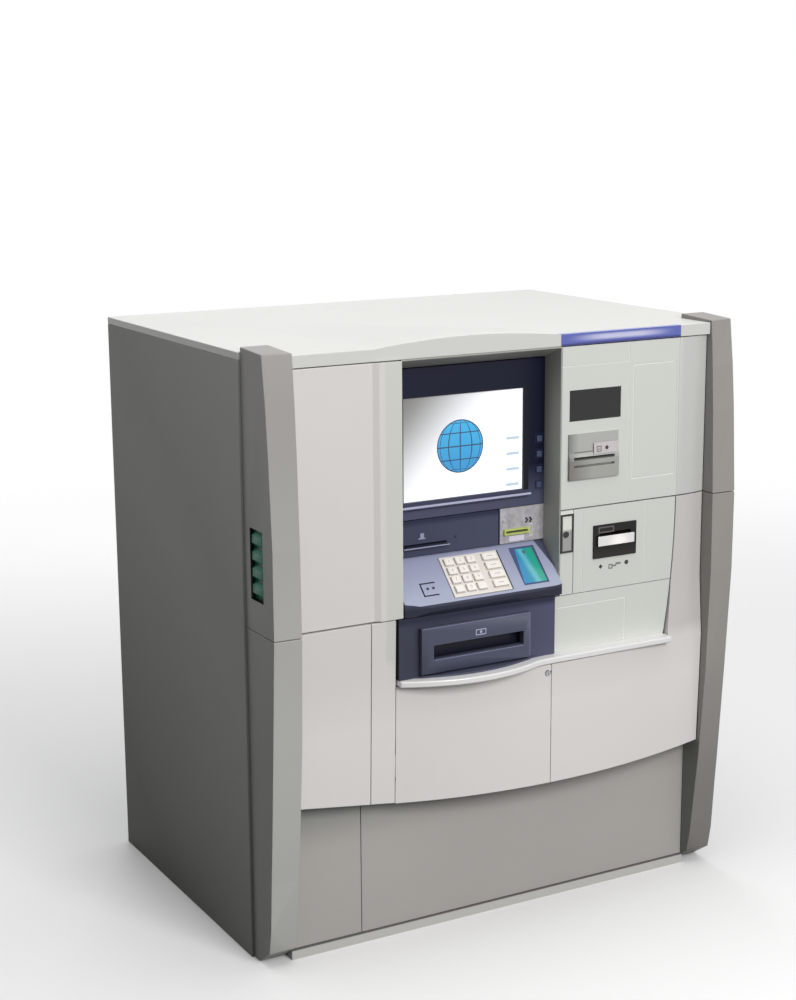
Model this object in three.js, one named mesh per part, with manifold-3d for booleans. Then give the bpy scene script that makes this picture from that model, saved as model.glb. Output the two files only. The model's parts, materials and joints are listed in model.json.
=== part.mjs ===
// Wide lobby cash machine, drawn in millimetres with Z up and its customer side facing -Y.
// In the drawing frame y = 0 is the front edge of the side panels, and the outer group
// moves the whole machine so that its footprint is centred on the origin.
import * as THREE from 'three';
import { mergeVertices } from 'three/addons/utils/BufferGeometryUtils.js';
import Module from 'manifold-3d';

const wasm = await Module();
wasm.setup();

// Overall sizes
const halfWidth = 586;
const cabinetDepth = 729;
const sidePanelThick = 18;
const topPanelThick = 16;
const rearPanelThick = 18;
const seat = 0.3;
const seam = 1.5;
const roundSegments = 20;
const dialSegments = 24;
const smallHoleSegments = 12;
const slope = Math.SQRT1_2;

// Front planes, counted back from the face of the panels
const panelFace = -106;
const panelThick = 26;
const frameFace = panelFace + panelThick;
const kickSetback = 56;
const kickFace = panelFace + kickSetback;
const kickThick = 6;
const lipReach = 6;
const lipFront = kickFace - lipReach;

// Columns across the front
const columnStep = 6;
const columnWidth = 62;
const columnOuter = halfWidth - columnStep;
const columnInner = columnOuter - columnWidth;

// Display bay across the front
const bayLeft = -287;
const bayWidth = 406;
const bayRight = bayLeft + bayWidth;
const linerThick = 3;
const baySetback = 61;
const bayFace = panelFace + baySetback;
const bezelThick = 20;

// Keypad rows down the slope and columns across it
const keyFirstRow = 27.5;
const keyRowPitch = 22.5;
const keyRowCount = 4;
const keyFirstInset = 153;
const keyColumnPitch = 27.5;
const keyColumnCount = 3;
const keyWidth = 21;
const keyDepth = 17;
const wideKeyStep = 47;
const wideKeyWidth = 36;
const keyRise = 5;
const keyLength = 12;
const keyCorner = 2.5;
const keyBevel = 1;
const keyGap = 0.6;
const keyWellMargin = 3;
const keyWellDepth = 14;
const keyRows = places(keyFirstRow, keyRowPitch, keyRowCount);
const keyColumns = places(bayLeft + keyFirstInset, keyColumnPitch, keyColumnCount);
const wideKeyX = keyColumns[keyColumnCount - 1] + wideKeyStep;

// Keypad plate round the keys
const plateSideMargin = 18;
const plateWideMargin = 24;
const plateTopMargin = 14.5;
const plateBottomMargin = 18;
const plateThick = 9;
const plateRise = 3;
const plateLeft = keyColumns[0] - plateSideMargin;
const plateRight = wideKeyX + plateWideMargin;
const plateStart = keyFirstRow - plateTopMargin;
const plateEnd = keyRows[keyRowCount - 1] + plateBottomMargin;

// Keyboard shelf, sloping at 45 degrees
const shelfSetback = 7;
const shelfBack = bayFace + shelfSetback;
const shelfRearStep = 12;
const shelfRear = shelfBack + shelfRearStep;
const shelfMargin = 2;
const shelfLength = plateEnd + shelfMargin;
const shelfLipHeight = 26.2;
const lipBulge = 6;
const lipStep = 9;
const shelfCornerSetback = 10;
const shelfCornerLength = 70;

// Heights, from the ledge down
const ledgeBottom = 586;
const trayHeight = 22;
const kickTopShare = 0.64846;
const kickTop = ledgeBottom * kickTopShare;
const kickRailHeight = 40;
const railBottom = kickTop - kickRailHeight;
const ledgeRailDrop = 2;
const ledgeRailBottom = ledgeBottom - ledgeRailDrop;
const hemMiddleShare = 0.53242;
const hemStripShare = 0.5529;
const hemLeftShare = 0.6058;
const hemMiddle = ledgeBottom * hemMiddleShare;
const hemStrip = ledgeBottom * hemStripShare;
const hemLeftEnd = ledgeBottom * hemLeftShare;
const hemRise = 10;
const lowerDoorTop = ledgeBottom - seam;

// Heights, from the ledge up through the bay
const ledgeThick = 14;
const ledgeTop = ledgeBottom + ledgeThick;
const cashHeight = 132;
const cashTop = ledgeTop + cashHeight;
const shelfBottom = cashTop + seam;
const shelfFrontTop = shelfBottom + shelfLipHeight;
const shelfTop = shelfFrontTop + shelfLength * slope;
const lowerBandGap = 2;
const lowerBandHeight = 78.5;
const lowerBandBottom = shelfTop + lowerBandGap;
const lowerBandTop = lowerBandBottom + lowerBandHeight;
const bezelBottom = lowerBandTop + seam;
const bezelFoot = 37;
const screenHeight = 222;
const bezelHead = 63;
const screenBottom = bezelBottom + bezelFoot;
const screenTop = screenBottom + screenHeight;
const bezelTop = screenTop + bezelHead;
const soffitGap = 2;
const soffitBack = bezelTop + soffitGap;
const soffitRise = 29;
const headerBottom = bezelTop + soffitRise;
const panelGap = 2;
const panelTop = headerBottom - panelGap;
const headerHeight = 26;
const cabinetHeight = headerBottom + headerHeight;

// Seams of the side columns and panels
const leftSeamHeight = cashTop;
const lowerTop = cashTop - seam;
const rightLowHeight = 124.5;
const rightMiddleHeight = 191.5;
const midSeam = ledgeTop + rightLowHeight;
const rightSeamHeight = midSeam + rightMiddleHeight;
const rightUpperHeight = panelTop - rightSeamHeight;

// Side columns: share of the cabinet's height, front of the outer edge, front of the inner edge
const columnShares = [
  0, 0.0277, 0.0685, 0.1538, 0.2169, 0.3769, 0.5638, 0.6992, 0.8462, 0.9231, 1,
];
const columnOuterFronts = [-24, -76, -86, -94, -101, -116, -131, -132, -121, -112, -99];
const columnInnerFronts = [-24, -74, -84, -97, -107, -124, -133, -131, -124, -118, -110];
const columnRise = 5;
const columnBackRise = 10;

// Carcass
const deckDrop = 23;
const deckThick = 12;
const deckTop = cashTop - deckDrop;
const deckBottom = deckTop - deckThick;
const postDepth = 40;
const postWidth = 20;
const bandPostGap = 1;
const bandPostWidth = 49;
const bandPostRight = bayLeft - linerThick - bandPostGap;
const bandPostLeft = bandPostRight - bandPostWidth;
const bayPostWidth = 18;
const railGap = 2;

// Brow over the display bay
const browLeftReach = 47;
const browRightStep = 1;
const browLeft = bayLeft - browLeftReach;
const browRight = bayRight - browRightStep;
const browCrown = 14;
const browFade = 70;
const browSteps = 12;

// Right-hand panels, with a curved band at the outer edge
const bandWidth = 83.5;
const bandEnd = columnInner - seam;
const bandStart = bandEnd - bandWidth;
const bandDrop = 11;
const bandSteps = 5;
const panelRight = bandStart - seam;
const wingLean = 25;
const edgeSteps = 4;
const rightLeftEdge = bayRight + linerThick + seat;

// Light bar in the header
const lightOverlap = 3;
const lightLeft = bayRight + seat;
const lightRight = bandStart + lightOverlap;
const lightDepth = 18;

// Display
const screenInset = 6;
const screenLap = 8;
const screenSide = 54;
const screenWidth = 298;
const screenLeft = bayLeft + screenSide;
const screenRight = screenLeft + screenWidth;
const monitorMargin = 14;
const monitorDepth = 60;
const chinDrop = 8;
const chinTop = screenBottom - chinDrop;
const chinThick = 6;
const chinRoot = 12;
const chinReach = 9;

// Keys beside the display
const sideKeyInset = 15;
const sideKeyX = bayRight - sideKeyInset;
const sideKeyFoot = 6;
const sideKeyPitch = 34;
const sideKeyCount = 4;
const sideKeyRows = places(screenBottom + sideKeyFoot, sideKeyPitch, sideKeyCount).reverse();
const sideKeySize = 13;
const sideKeyRise = 3;
const sideKeyLength = 9;

// Card reader
const cardSlotInset = 101;
const cardSlotWidth = 56;
const cardSlotLift = 23;
const cardSlotHeight = 5;
const cardSlotLeft = bayRight - cardSlotInset;
const cardSlotRight = cardSlotLeft + cardSlotWidth;
const cardSlotBottom = lowerBandBottom + cardSlotLift;
const cardBezelMargin = 4;
const cardBezelReach = 6;
const cardBodyMargin = 18;
const cardBodyDrop = 26.5;
const cardBodyRight = cardSlotRight + cardBodyMargin;
const cardBodyTop = lowerBandTop - cardBodyDrop;
const cardBodyDepth = 150;
const cardThroatDepth = 95;

// Receipt panel
const receiptMargin = 16.5;
const receiptRight = cardSlotLeft - receiptMargin;
const receiptSlotInset = 49;
const receiptSlotWidth = 112;
const receiptSlotLift = 21;
const receiptSlotHeight = 5;
const receiptSlotMargin = 3;
const receiptSlotLeft = bayLeft + receiptSlotInset;
const receiptSlotRight = receiptSlotLeft + receiptSlotWidth;
const receiptSlotBottom = lowerBandBottom + receiptSlotLift;
const receiptLipThick = 5;
const receiptLipReach = 8;
const receiptBodyMargin = 36;
const receiptBodyDrop = 6.5;
const receiptBodyRight = receiptSlotRight + receiptBodyMargin;
const receiptBodyTop = lowerBandTop - receiptBodyDrop;
const receiptBodyDepth = 130;

// Earphone inset and card sketch recess on the shelf
const jackInset = 67;
const jackWidth = 37;
const jackHeight = 33;
const jackStart = 66;
const jackLeft = bayLeft + jackInset;
const jackRight = jackLeft + jackWidth;
const jackEnd = jackStart + jackHeight;
const jackGroove = 3;
const jackGrooveDepth = 5;
const jackFirstHole = 15;
const jackHolePitch = 14;
const jackHoleCount = 2;
const jackHoles = places(jackLeft + jackFirstHole, jackHolePitch, jackHoleCount);
const jackHoleDrop = 15;
const jackHoleRow = jackStart + jackHoleDrop;
const jackHoleRadius = 2.4;
const jackHoleDepth = 8;
const sketchInset = 93;
const sketchWidth = 64;
const sketchStart = 12;
const sketchLength = 96;
const sketchLeft = bayRight - sketchInset;
const sketchRight = sketchLeft + sketchWidth;
const sketchEnd = sketchStart + sketchLength;
const sketchDepth = 2;

// Cash dispenser fascia with its slot and shutter
const cashStep = 11;
const cashFace = panelFace - cashStep;
const cashRightStep = 16;
const cashRight = bayRight - cashRightStep;
const cashFrameSide = 47;
const cashFrameWidth = 271;
const cashFrameFoot = 9;
const cashFrameHead = 23;
const cashFrameLeft = bayLeft + cashFrameSide;
const cashFrameRight = cashFrameLeft + cashFrameWidth;
const cashFrameBottom = ledgeTop + cashFrameFoot;
const cashFrameTop = cashTop - cashFrameHead;
const cashFrameReach = 14;
const cashSlotSide = 29.5;
const cashSlotWidth = 223.5;
const cashSlotLift = 39;
const cashSlotHeight = 30;
const cashSlotLeft = cashFrameLeft + cashSlotSide;
const cashSlotRight = cashSlotLeft + cashSlotWidth;
const cashSlotBottom = ledgeTop + cashSlotLift;
const cashSlotTop = cashSlotBottom + cashSlotHeight;
const shutterThick = 4;
const shutterLap = 4;
const shutterTravel = cashSlotHeight;
const shutterSetback = 12;
const trayThick = 4;
const traySetback = 24;

// Ledge under the dispenser
const ledgeRight = panelRight - wingLean;
const ledgeReach = 35;
const ledgeShoulderReach = 16;
const ledgeFace = panelFace - ledgeReach;
const ledgeShoulder = panelFace - ledgeShoulderReach;
const ledgeBow = 52;
const ledgeBowInset = 187;
const ledgeBowCentre = bayLeft + ledgeBowInset;
const ledgeBowHalf = 190;
const ledgeHalfSteps = 7;

// Lines pressed into the right-hand panels
const reliefDepth = 0.9;
const reliefGroove = 2.2;
const lineWidth = 1.5;
const reliefGap = 6;
const reliefWidth = 117;
const reliefBottomShare = 0.1433;
const reliefTopShare = 0.8596;
const reliefRight = bandStart - reliefGap;
const reliefLeft = reliefRight - reliefWidth;
const reliefBottom = rightSeamHeight + rightUpperHeight * reliefBottomShare;
const reliefTop = rightSeamHeight + rightUpperHeight * reliefTopShare;
const upperLineGap = 12;
const upperLineX = reliefLeft - upperLineGap;
const upperLineShare = 0.8792;
const upperLineHeight = rightSeamHeight + rightUpperHeight * upperLineShare;
const lowerReliefInset = 13;
const lowerReliefWidth = 181;
const lowerReliefDrop = 27.5;
const lowerReliefLeft = cashRight + lowerReliefInset;
const lowerReliefRight = lowerReliefLeft + lowerReliefWidth;
const lowerReliefTop = midSeam - lowerReliefDrop;

// Dark window
const windowInset = 19.7;
const windowWidth = 135;
const windowBottomShare = 0.5421;
const windowTopShare = 0.7331;
const windowLeft = rightLeftEdge + windowInset;
const windowRight = windowLeft + windowWidth;
const windowBottom = rightSeamHeight + rightUpperHeight * windowBottomShare;
const windowTop = rightSeamHeight + rightUpperHeight * windowTopShare;
const windowDepth = 4;

// Passbook module
const bookInset = 16.7;
const bookWidth = 131;
const bookBottomShare = 0.1826;
const bookTopShare = 0.4663;
const bookLeft = rightLeftEdge + bookInset;
const bookRight = bookLeft + bookWidth;
const bookBottom = rightSeamHeight + rightUpperHeight * bookBottomShare;
const bookTop = rightSeamHeight + rightUpperHeight * bookTopShare;
const bookHeight = bookTop - bookBottom;
const bookReach = 7;
const bookSlotShare = 0.42;
const bookSlotHeight = 7;
const bookSlotBottom = bookBottom + bookHeight * bookSlotShare;
const bookGrooveShare = 0.27;
const bookGrooveHeight = 4.5;
const bookGrooveDepth = 9;
const bookGrooveBottom = bookBottom + bookHeight * bookGrooveShare;
const bookSlotMargin = 12;
const bookStepRise = 10;
const bookBodyDepth = 200;
const moduleStep = 6;

// Deposit module
const depositInset = 85.7;
const depositWidth = 115;
const depositBottomShare = 0.3838;
const depositTopShare = 0.7755;
const depositBandBottomShare = 0.53;
const depositBandTopShare = 0.6501;
const depositLeft = rightLeftEdge + depositInset;
const depositRight = depositLeft + depositWidth;
const depositBottom = midSeam + rightMiddleHeight * depositBottomShare;
const depositTop = midSeam + rightMiddleHeight * depositTopShare;
const depositBandBottom = midSeam + rightMiddleHeight * depositBandBottomShare;
const depositBandTop = midSeam + rightMiddleHeight * depositBandTopShare;
const depositReach = 4;
const depositBandMargin = 8;
const depositBandReach = 8;
const depositSlotMargin = 16;
const depositSlotHeight = 6;
const depositBodyDepth = 190;

// Lock module and the lines of the middle panel
const lockStripWidth = 33.2;
const lockStripRight = rightLeftEdge + lockStripWidth;
const lockFrameBottomShare = 0.5039;
const lockFrameTopShare = 0.953;
const lockButtonShare = 0.718;
const lockFrameBottom = midSeam + rightMiddleHeight * lockFrameBottomShare;
const lockFrameTop = midSeam + rightMiddleHeight * lockFrameTopShare;
const lockButtonHeight = midSeam + rightMiddleHeight * lockButtonShare;
const lockFrameReach = 3;
const lockFrameWidth = 4;
const lockButtonInset = 13.7;
const lockButtonX = rightLeftEdge + lockButtonInset;
const lockButtonRadius = 7;
const middleLineInset = 24.5;
const middleLineGap = 27;
const middleLines = [lockStripRight + middleLineInset, depositRight + middleLineGap];

// Hinge knuckles of every door
const knuckleInset = 60;
const knuckleLength = 50;
const knuckleSetback = 3;
const lowerKnuckleSetback = 6;

// Upper left door
const doorOverlap = 14;
const doorBandWidth = 65;
const doorThick = 20;
const doorRight = bayLeft + doorOverlap;
const doorBandLeft = doorRight - doorBandWidth;
const doorBandRise = 7;
const doorBandSlope = 12;

// Lower left panel, strip and lower doors
const stripGap = 1;
const stripWidth = 58.5;
const stripRight = bayLeft - stripGap;
const stripLeft = stripRight - stripWidth;
const lowerSeamStep = 20.5;
const lowerSeamX = cashRight - lowerSeamStep;
const fasciaBottomStep = 8;
const fasciaTopStep = 4;
const fasciaBottomFace = panelFace + fasciaBottomStep;
const fasciaTopFace = panelFace - fasciaTopStep;
const fasciaMiddle = (stripRight + bandEnd) / 2;
const fasciaHalf = (bandEnd - stripRight) / 2;
const bulgeBottom = 40;
const bulgeTop = 32;
const lowerThick = 18;
const fasciaSteps = 8;
const wingLap = 12;
const wingSink = 2;
const wingColumnSteps = 4;

// Key lock of the lower doors
const keyLockInset = 10.5;
const keyLockDrop = 18.5;
const keyLockX = lowerSeamX - keyLockInset;
const keyLockHeight = lowerDoorTop - keyLockDrop;
const keyLockRadius = 6;
const keyLockReach = 2.5;
const keyLockLength = 14;
const lockHoleDepth = 36;
const keySlotWidth = 1.2;
const keySlotLength = 7;
const keySlotDepth = 2;

// Status lamp in the left column
const lampLift = 67;
const lampHeight = 148;
const lampSetback = 21;
const lampWidth = 58;
const lampFront = panelFace + lampSetback;
const lampBack = lampFront + lampWidth;
const lampBottom = leftSeamHeight + lampLift;
const lampTop = lampBottom + lampHeight;
const lampPocket = 14;
const lampBase = 4;
const lampLobes = 4;
const lampLobeReach = 8;
const lampMargin = 5;
const lampLobeGap = 4;

// Safe
const safeHalf = 300;
const safeFront = -18;
const safeRearGap = 53;
const safeBack = cabinetDepth - safeRearGap;
const safeHeadroom = 7;
const safeTop = deckBottom - safeHeadroom;
const safeWall = 20;
const safeDoorThick = 36;
const safeDoorGap = 2.5;
const handleInset = 97.5;
const handleHub = 20;
const handleReach = 44;
const handleStem = 26;
const handleBarWidth = 22;
const handleBarLength = 150;
const dialInset = 157.5;
const dialRadius = 34;
const dialReach = 24;

// Note dispenser and its cassettes
const presenterSide = 14;
const presenterFoot = 24;
const presenterHead = 2;
const presenterLeft = cashSlotLeft - presenterSide;
const presenterRight = cashSlotRight + presenterSide;
const presenterBottom = cashSlotBottom - presenterFoot;
const presenterTop = cashSlotTop - presenterHead;
const presenterGap = 6;
const presenterFront = frameFace + presenterGap;
const throatSide = 8;
const throatFoot = 4;
const throatHead = 6;
const throatLeft = presenterLeft - throatSide;
const throatRight = presenterRight + throatSide;
const throatBottom = presenterBottom - throatFoot;
const throatTop = presenterTop + throatHead;
const rackSide = 18;
const rackLeft = throatLeft - rackSide;
const rackRight = throatRight + rackSide;
const rackPlate = 10;
const rackGap = 6;
const rackFront = safeFront + safeWall + rackGap;
const rackRearGap = 196;
const rackBack = safeBack - rackRearGap;
const safeFloor = trayHeight + safeWall;
const cassetteCount = 4;
const cassetteStep = 62;
const cassetteGap = 22;
const cassettePitch = (presenterBottom - safeFloor - rackPlate) / cassetteCount;
const cassetteHeight = cassettePitch - cassetteGap;
const cassetteFront = rackFront + cassetteStep;
const runnerWidth = 12;
const runnerThick = 6;

// Rear side
const rearDoorLift = 24;
const rearDoorBottom = deckTop + rearDoorLift;
const rearHoleGap = 6;
const rearHoleHeadroom = 2;
const rearHoleHalf = safeHalf + rearHoleGap;
const rearHoleTop = safeTop + rearHoleHeadroom;
const rearDoorHalf = halfWidth - sidePanelThick - seam;
const rearDoorTop = cabinetHeight - topPanelThick - seam;
const louvreCount = 6;
const louvreInset = 166.5;
const louvreWidth = 301;
const louvreDrop = 72.5;
const louvrePitch = 18;
const louvreHeight = 6;
const louvreLeft = louvreInset - rearDoorHalf;
const louvreRight = louvreLeft + louvreWidth;
const rearPullInset = 26.5;
const rearPullWidth = 40;
const rearPullHeight = 120;
const rearPullDepth = 8;
const rearPullLeft = rearPullInset - rearDoorHalf;
const rearPullRight = rearPullLeft + rearPullWidth;
const rearPullBottom = (rearDoorBottom + rearDoorTop - rearPullHeight) / 2;
const rearPullTop = rearPullBottom + rearPullHeight;

// Computer on the deck
const computerGap = 63;
const computerWidth = 145;
const computerDepth = 410;
const computerHeight = 381;
const computerLeft = computerGap + sidePanelThick - halfWidth;
const computerRight = computerLeft + computerWidth;
const computerFront = safeFront - railGap;
const computerBack = computerFront + computerDepth;
const computerTop = deckTop + computerHeight;
const computerBayHeight = 42;
const computerBayDepth = 3;
const computerBayMargin = 6;
const computerBayGap = 3;
const computerBayCount = 2;

function places(first, pitch, count) {
  return Array.from({ length: count }, (_, i) => first + i * pitch);
}

// Joined and cut solids
function toSolid(geometry) {
  const plain = geometry.clone();
  plain.deleteAttribute('normal');
  plain.deleteAttribute('uv');
  const merged = mergeVertices(plain, 1e-4);
  return new wasm.Manifold(new wasm.Mesh({
    numProp: 3,
    vertProperties: new Float32Array(merged.attributes.position.array),
    triVerts: new Uint32Array(merged.index.array),
  }));
}

function toGeometry(solid) {
  const data = solid.getMesh();
  const geometry = new THREE.BufferGeometry();
  geometry.setAttribute('position', new THREE.BufferAttribute(new Float32Array(data.vertProperties), 3));
  geometry.setIndex(new THREE.BufferAttribute(new Uint32Array(data.triVerts), 1));
  return geometry;
}

function join(first, ...others) {
  let solid = toSolid(first);
  for (const other of others) {
    solid = solid.add(toSolid(other));
  }
  return toGeometry(solid);
}

function cut(first, ...tools) {
  let solid = toSolid(first);
  for (const tool of tools) {
    solid = solid.subtract(toSolid(tool));
  }
  return toGeometry(solid);
}

function keepInside(first, second) {
  return toGeometry(toSolid(first).intersect(toSolid(second)));
}

// Basic shapes in the drawing frame
function box(x0, x1, y0, y1, z0, z1) {
  const geometry = new THREE.BoxGeometry(x1 - x0, y1 - y0, z1 - z0);
  geometry.translate((x0 + x1) / 2, (y0 + y1) / 2, (z0 + z1) / 2);
  return geometry;
}

function shapeOf(points) {
  return new THREE.Shape(points.map(([a, b]) => new THREE.Vector2(a, b)));
}

function prismX(points, x0, x1) {
  const geometry = new THREE.ExtrudeGeometry(shapeOf(points), { depth: x1 - x0, bevelEnabled: false });
  const turn = new THREE.Matrix4().makeBasis(
    new THREE.Vector3(0, 1, 0),
    new THREE.Vector3(0, 0, 1),
    new THREE.Vector3(1, 0, 0),
  );
  geometry.applyMatrix4(turn);
  geometry.translate(x0, 0, 0);
  return geometry;
}

function prismZ(points, z0, z1) {
  const geometry = new THREE.ExtrudeGeometry(shapeOf(points), { depth: z1 - z0, bevelEnabled: false });
  geometry.translate(0, 0, z0);
  return geometry;
}

function prismY(points, y0, y1) {
  const geometry = new THREE.ExtrudeGeometry(shapeOf(points), { depth: y1 - y0, bevelEnabled: false });
  const turn = new THREE.Matrix4().makeBasis(
    new THREE.Vector3(1, 0, 0),
    new THREE.Vector3(0, 0, 1),
    new THREE.Vector3(0, -1, 0),
  );
  geometry.applyMatrix4(turn);
  geometry.translate(0, y1, 0);
  return geometry;
}

function rod(radius, x, z, y0, y1, segments) {
  const geometry = new THREE.CylinderGeometry(radius, radius, y1 - y0, segments);
  geometry.translate(x, (y0 + y1) / 2, z);
  return geometry;
}

// A closed sheet between a front surface and a back surface, on columns xs and rows of heights
function sheet(xs, rows, front, back, backRows = rows) {
  const frontGrid = [];
  const backGrid = [];
  const positions = [];
  const indices = [];
  const addPoint = (x, y, z) => {
    positions.push(x, y, z);
    return positions.length / 3 - 1;
  };
  for (const x of xs) {
    frontGrid.push(rows(x).map((z) => addPoint(x, front(x, z), z)));
    backGrid.push(backRows(x).map((z) => addPoint(x, back(x, z), z)));
  }
  const quad = (a, b, c, d) => indices.push(a, b, c, a, c, d);
  const lastX = xs.length - 1;
  const lastZ = frontGrid[0].length - 1;
  for (let i = 0; i < lastX; i += 1) {
    for (let j = 0; j < lastZ; j += 1) {
      quad(frontGrid[i][j], frontGrid[i + 1][j], frontGrid[i + 1][j + 1], frontGrid[i][j + 1]);
      quad(backGrid[i][j], backGrid[i][j + 1], backGrid[i + 1][j + 1], backGrid[i + 1][j]);
    }
    quad(frontGrid[i][lastZ], frontGrid[i + 1][lastZ], backGrid[i + 1][lastZ], backGrid[i][lastZ]);
    quad(frontGrid[i][0], backGrid[i][0], backGrid[i + 1][0], frontGrid[i + 1][0]);
  }
  for (let j = 0; j < lastZ; j += 1) {
    quad(frontGrid[0][j], frontGrid[0][j + 1], backGrid[0][j + 1], backGrid[0][j]);
    quad(frontGrid[lastX][j], backGrid[lastX][j], backGrid[lastX][j + 1], frontGrid[lastX][j + 1]);
  }
  const geometry = new THREE.BufferGeometry();
  geometry.setAttribute('position', new THREE.Float32BufferAttribute(positions, 3));
  geometry.setIndex(indices);
  return geometry;
}

function steps(from, to, count) {
  return Array.from({ length: count + 1 }, (_, i) => from + ((to - from) * i) / count);
}

function between(value, a, b, fromA, toB) {
  return fromA + ((toB - fromA) * (value - a)) / (b - a);
}

// The machine
const machine = new THREE.Group();
machine.name = 'cash_machine';
const body = new THREE.Group();
body.name = 'drawing_frame';
machine.add(body);

function addPiece(name, geometry, color, roughness, metalness, parent = body) {
  geometry.computeVertexNormals();
  const material = new THREE.MeshStandardMaterial({ color, roughness, metalness });
  const piece = new THREE.Mesh(geometry, material);
  piece.name = name;
  parent.add(piece);
  return piece;
}

// Paint and plastic colours seen on the machine
const doorColor = '#ccc9c4';
const panelColor = '#cfd0ca';
const columnColor = '#a9a9a3';
const navyColor = '#242a48';
const shelfColor = '#a3a9c6';
const silverColor = '#dcdde0';
const blackColor = '#16161a';
const keyColor = '#f3eee6';

// Carcass: floor tray with its front lip, posts, rails, deck and rear frame, welded into one
const inner = halfWidth - sidePanelThick - seat;
const rearFace = cabinetDepth - rearPanelThick;
const postEdge = columnInner - seat;
const postBack = frameFace + postDepth;
const kickBack = kickFace + kickThick;
const railBack = safeFront - railGap;
const carcassPieces = [
  box(-inner, inner, 0, cabinetDepth, 0, trayHeight),
  box(-postEdge, postEdge, lipFront, 0, 0, trayHeight),
  box(-inner, inner, 0, rearFace, deckBottom, deckTop),
  box(-postEdge, postEdge, frameFace, 0, deckBottom, deckTop),
  box(-inner, inner, rearFace, cabinetDepth, 0, rearDoorBottom - seam),
  box(-postEdge, postEdge, kickBack, railBack, railBottom, kickTop),
  box(-postEdge, postEdge, frameFace, railBack, ledgeRailBottom, ledgeTop),
  box(-postEdge, -postEdge + postWidth, frameFace, postBack, kickTop, headerBottom - seat),
  box(postEdge - postWidth, postEdge, frameFace, postBack, kickTop, headerBottom - seat),
  box(-postEdge, -postEdge + postWidth, kickBack, postBack, 0, ledgeTop),
  box(postEdge - postWidth, postEdge, kickBack, postBack, 0, ledgeTop),
  box(bandPostLeft, bandPostRight, frameFace, postBack, kickTop, headerBottom - seat),
  box(bandPostLeft, bandPostRight, kickBack, postBack, 0, ledgeTop),
  box(rightLeftEdge, rightLeftEdge + bayPostWidth, frameFace, postBack, deckBottom, headerBottom - seat),
  box(panelRight - postWidth, panelRight, frameFace, postBack, deckBottom, headerBottom - seat),
];
const carcass = cut(
  join(...carcassPieces),
  box(-rearHoleHalf, rearHoleHalf, rearFace - seam, cabinetDepth + seam, trayHeight, rearHoleTop),
);
addPiece('carcass_frame', carcass, '#6f7276', 0.5, 0.5);

// Side panels
for (const side of [-1, 1]) {
  const edges = [side * halfWidth, side * (halfWidth - sidePanelThick)].sort((a, b) => a - b);
  const panel = box(edges[0], edges[1], 0, cabinetDepth, 0, cabinetHeight - topPanelThick);
  addPiece(side < 0 ? 'side_panel_left' : 'side_panel_right', panel, '#8b8d8b', 0.55, 0.15);
}

// Top cover: flat sheet, header over the doors and the arched brow over the display bay
function browHeight(x) {
  const middle = (browLeft + browRight) / 2;
  const share = (x - middle) / ((browRight - browLeft) / 2);
  return cabinetHeight + browCrown * Math.max(0, 1 - share * share);
}

function browGeometry() {
  const xs = steps(browLeft, browRight, browSteps);
  const positions = [];
  const indices = [];
  const front = [];
  const crest = [];
  const sunk = cabinetHeight - topPanelThick / 2;
  const fade = [];
  const under = [];
  const addPoint = (x, y, z) => {
    positions.push(x, y, z);
    return positions.length / 3 - 1;
  };
  for (const x of xs) {
    under.push(addPoint(x, panelFace, sunk));
    front.push(addPoint(x, panelFace, browHeight(x)));
    crest.push(addPoint(x, 0, browHeight(x)));
    fade.push(addPoint(x, browFade, sunk));
  }
  const quad = (a, b, c, d) => indices.push(a, b, c, a, c, d);
  for (let i = 0; i < browSteps; i += 1) {
    quad(under[i], under[i + 1], front[i + 1], front[i]);
    quad(front[i], front[i + 1], crest[i + 1], crest[i]);
    quad(crest[i], crest[i + 1], fade[i + 1], fade[i]);
    quad(fade[i], fade[i + 1], under[i + 1], under[i]);
  }
  const last = browSteps;
  indices.push(under[0], front[0], crest[0], under[0], crest[0], fade[0]);
  indices.push(under[last], crest[last], front[last], under[last], fade[last], crest[last]);
  const geometry = new THREE.BufferGeometry();
  geometry.setAttribute('position', new THREE.Float32BufferAttribute(positions, 3));
  geometry.setIndex(indices);
  return geometry;
}

const topCover = cut(
  join(
    box(-halfWidth, halfWidth, 0, cabinetDepth, cabinetHeight - topPanelThick, cabinetHeight),
    box(-postEdge, postEdge, panelFace, 0, headerBottom, cabinetHeight),
    browGeometry(),
  ),
  box(
    lightLeft - seat, lightRight + seat, panelFace - seam, panelFace + lightDepth + seat,
    headerBottom - seam, cabinetHeight + seam,
  ),
);
addPiece('top_cover', topCover, '#dfe0db', 0.5, 0.1);

addPiece(
  'light_bar',
  box(lightLeft, lightRight, panelFace, panelFace + lightDepth, headerBottom, cabinetHeight - seat),
  '#3a45a8', 0.15, 0,
);

// Side columns, each in an upper and a lower length
const columnTop = cabinetHeight + columnRise;
const columnHeights = columnShares.map((share) => columnTop * share);

function profileAt(z, fronts) {
  const high = Math.max(1, columnHeights.findIndex((height) => z <= height));
  return between(z, columnHeights[high - 1], columnHeights[high], fronts[high - 1], fronts[high]);
}

function columnGeometry(side, from, to) {
  const heights = [from, ...columnHeights.filter((z) => z > from && z < to), to];
  const backHeights = heights.map((z) => (z === columnTop ? cabinetHeight + columnBackRise : z));
  const xs = side < 0 ? [-columnOuter, -columnInner] : [columnInner, columnOuter];
  const front = (x, z) => between(
    Math.abs(x), columnInner, columnOuter, profileAt(z, columnInnerFronts), profileAt(z, columnOuterFronts),
  );
  return sheet(xs, () => heights, front, () => 0, () => backHeights);
}

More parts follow.
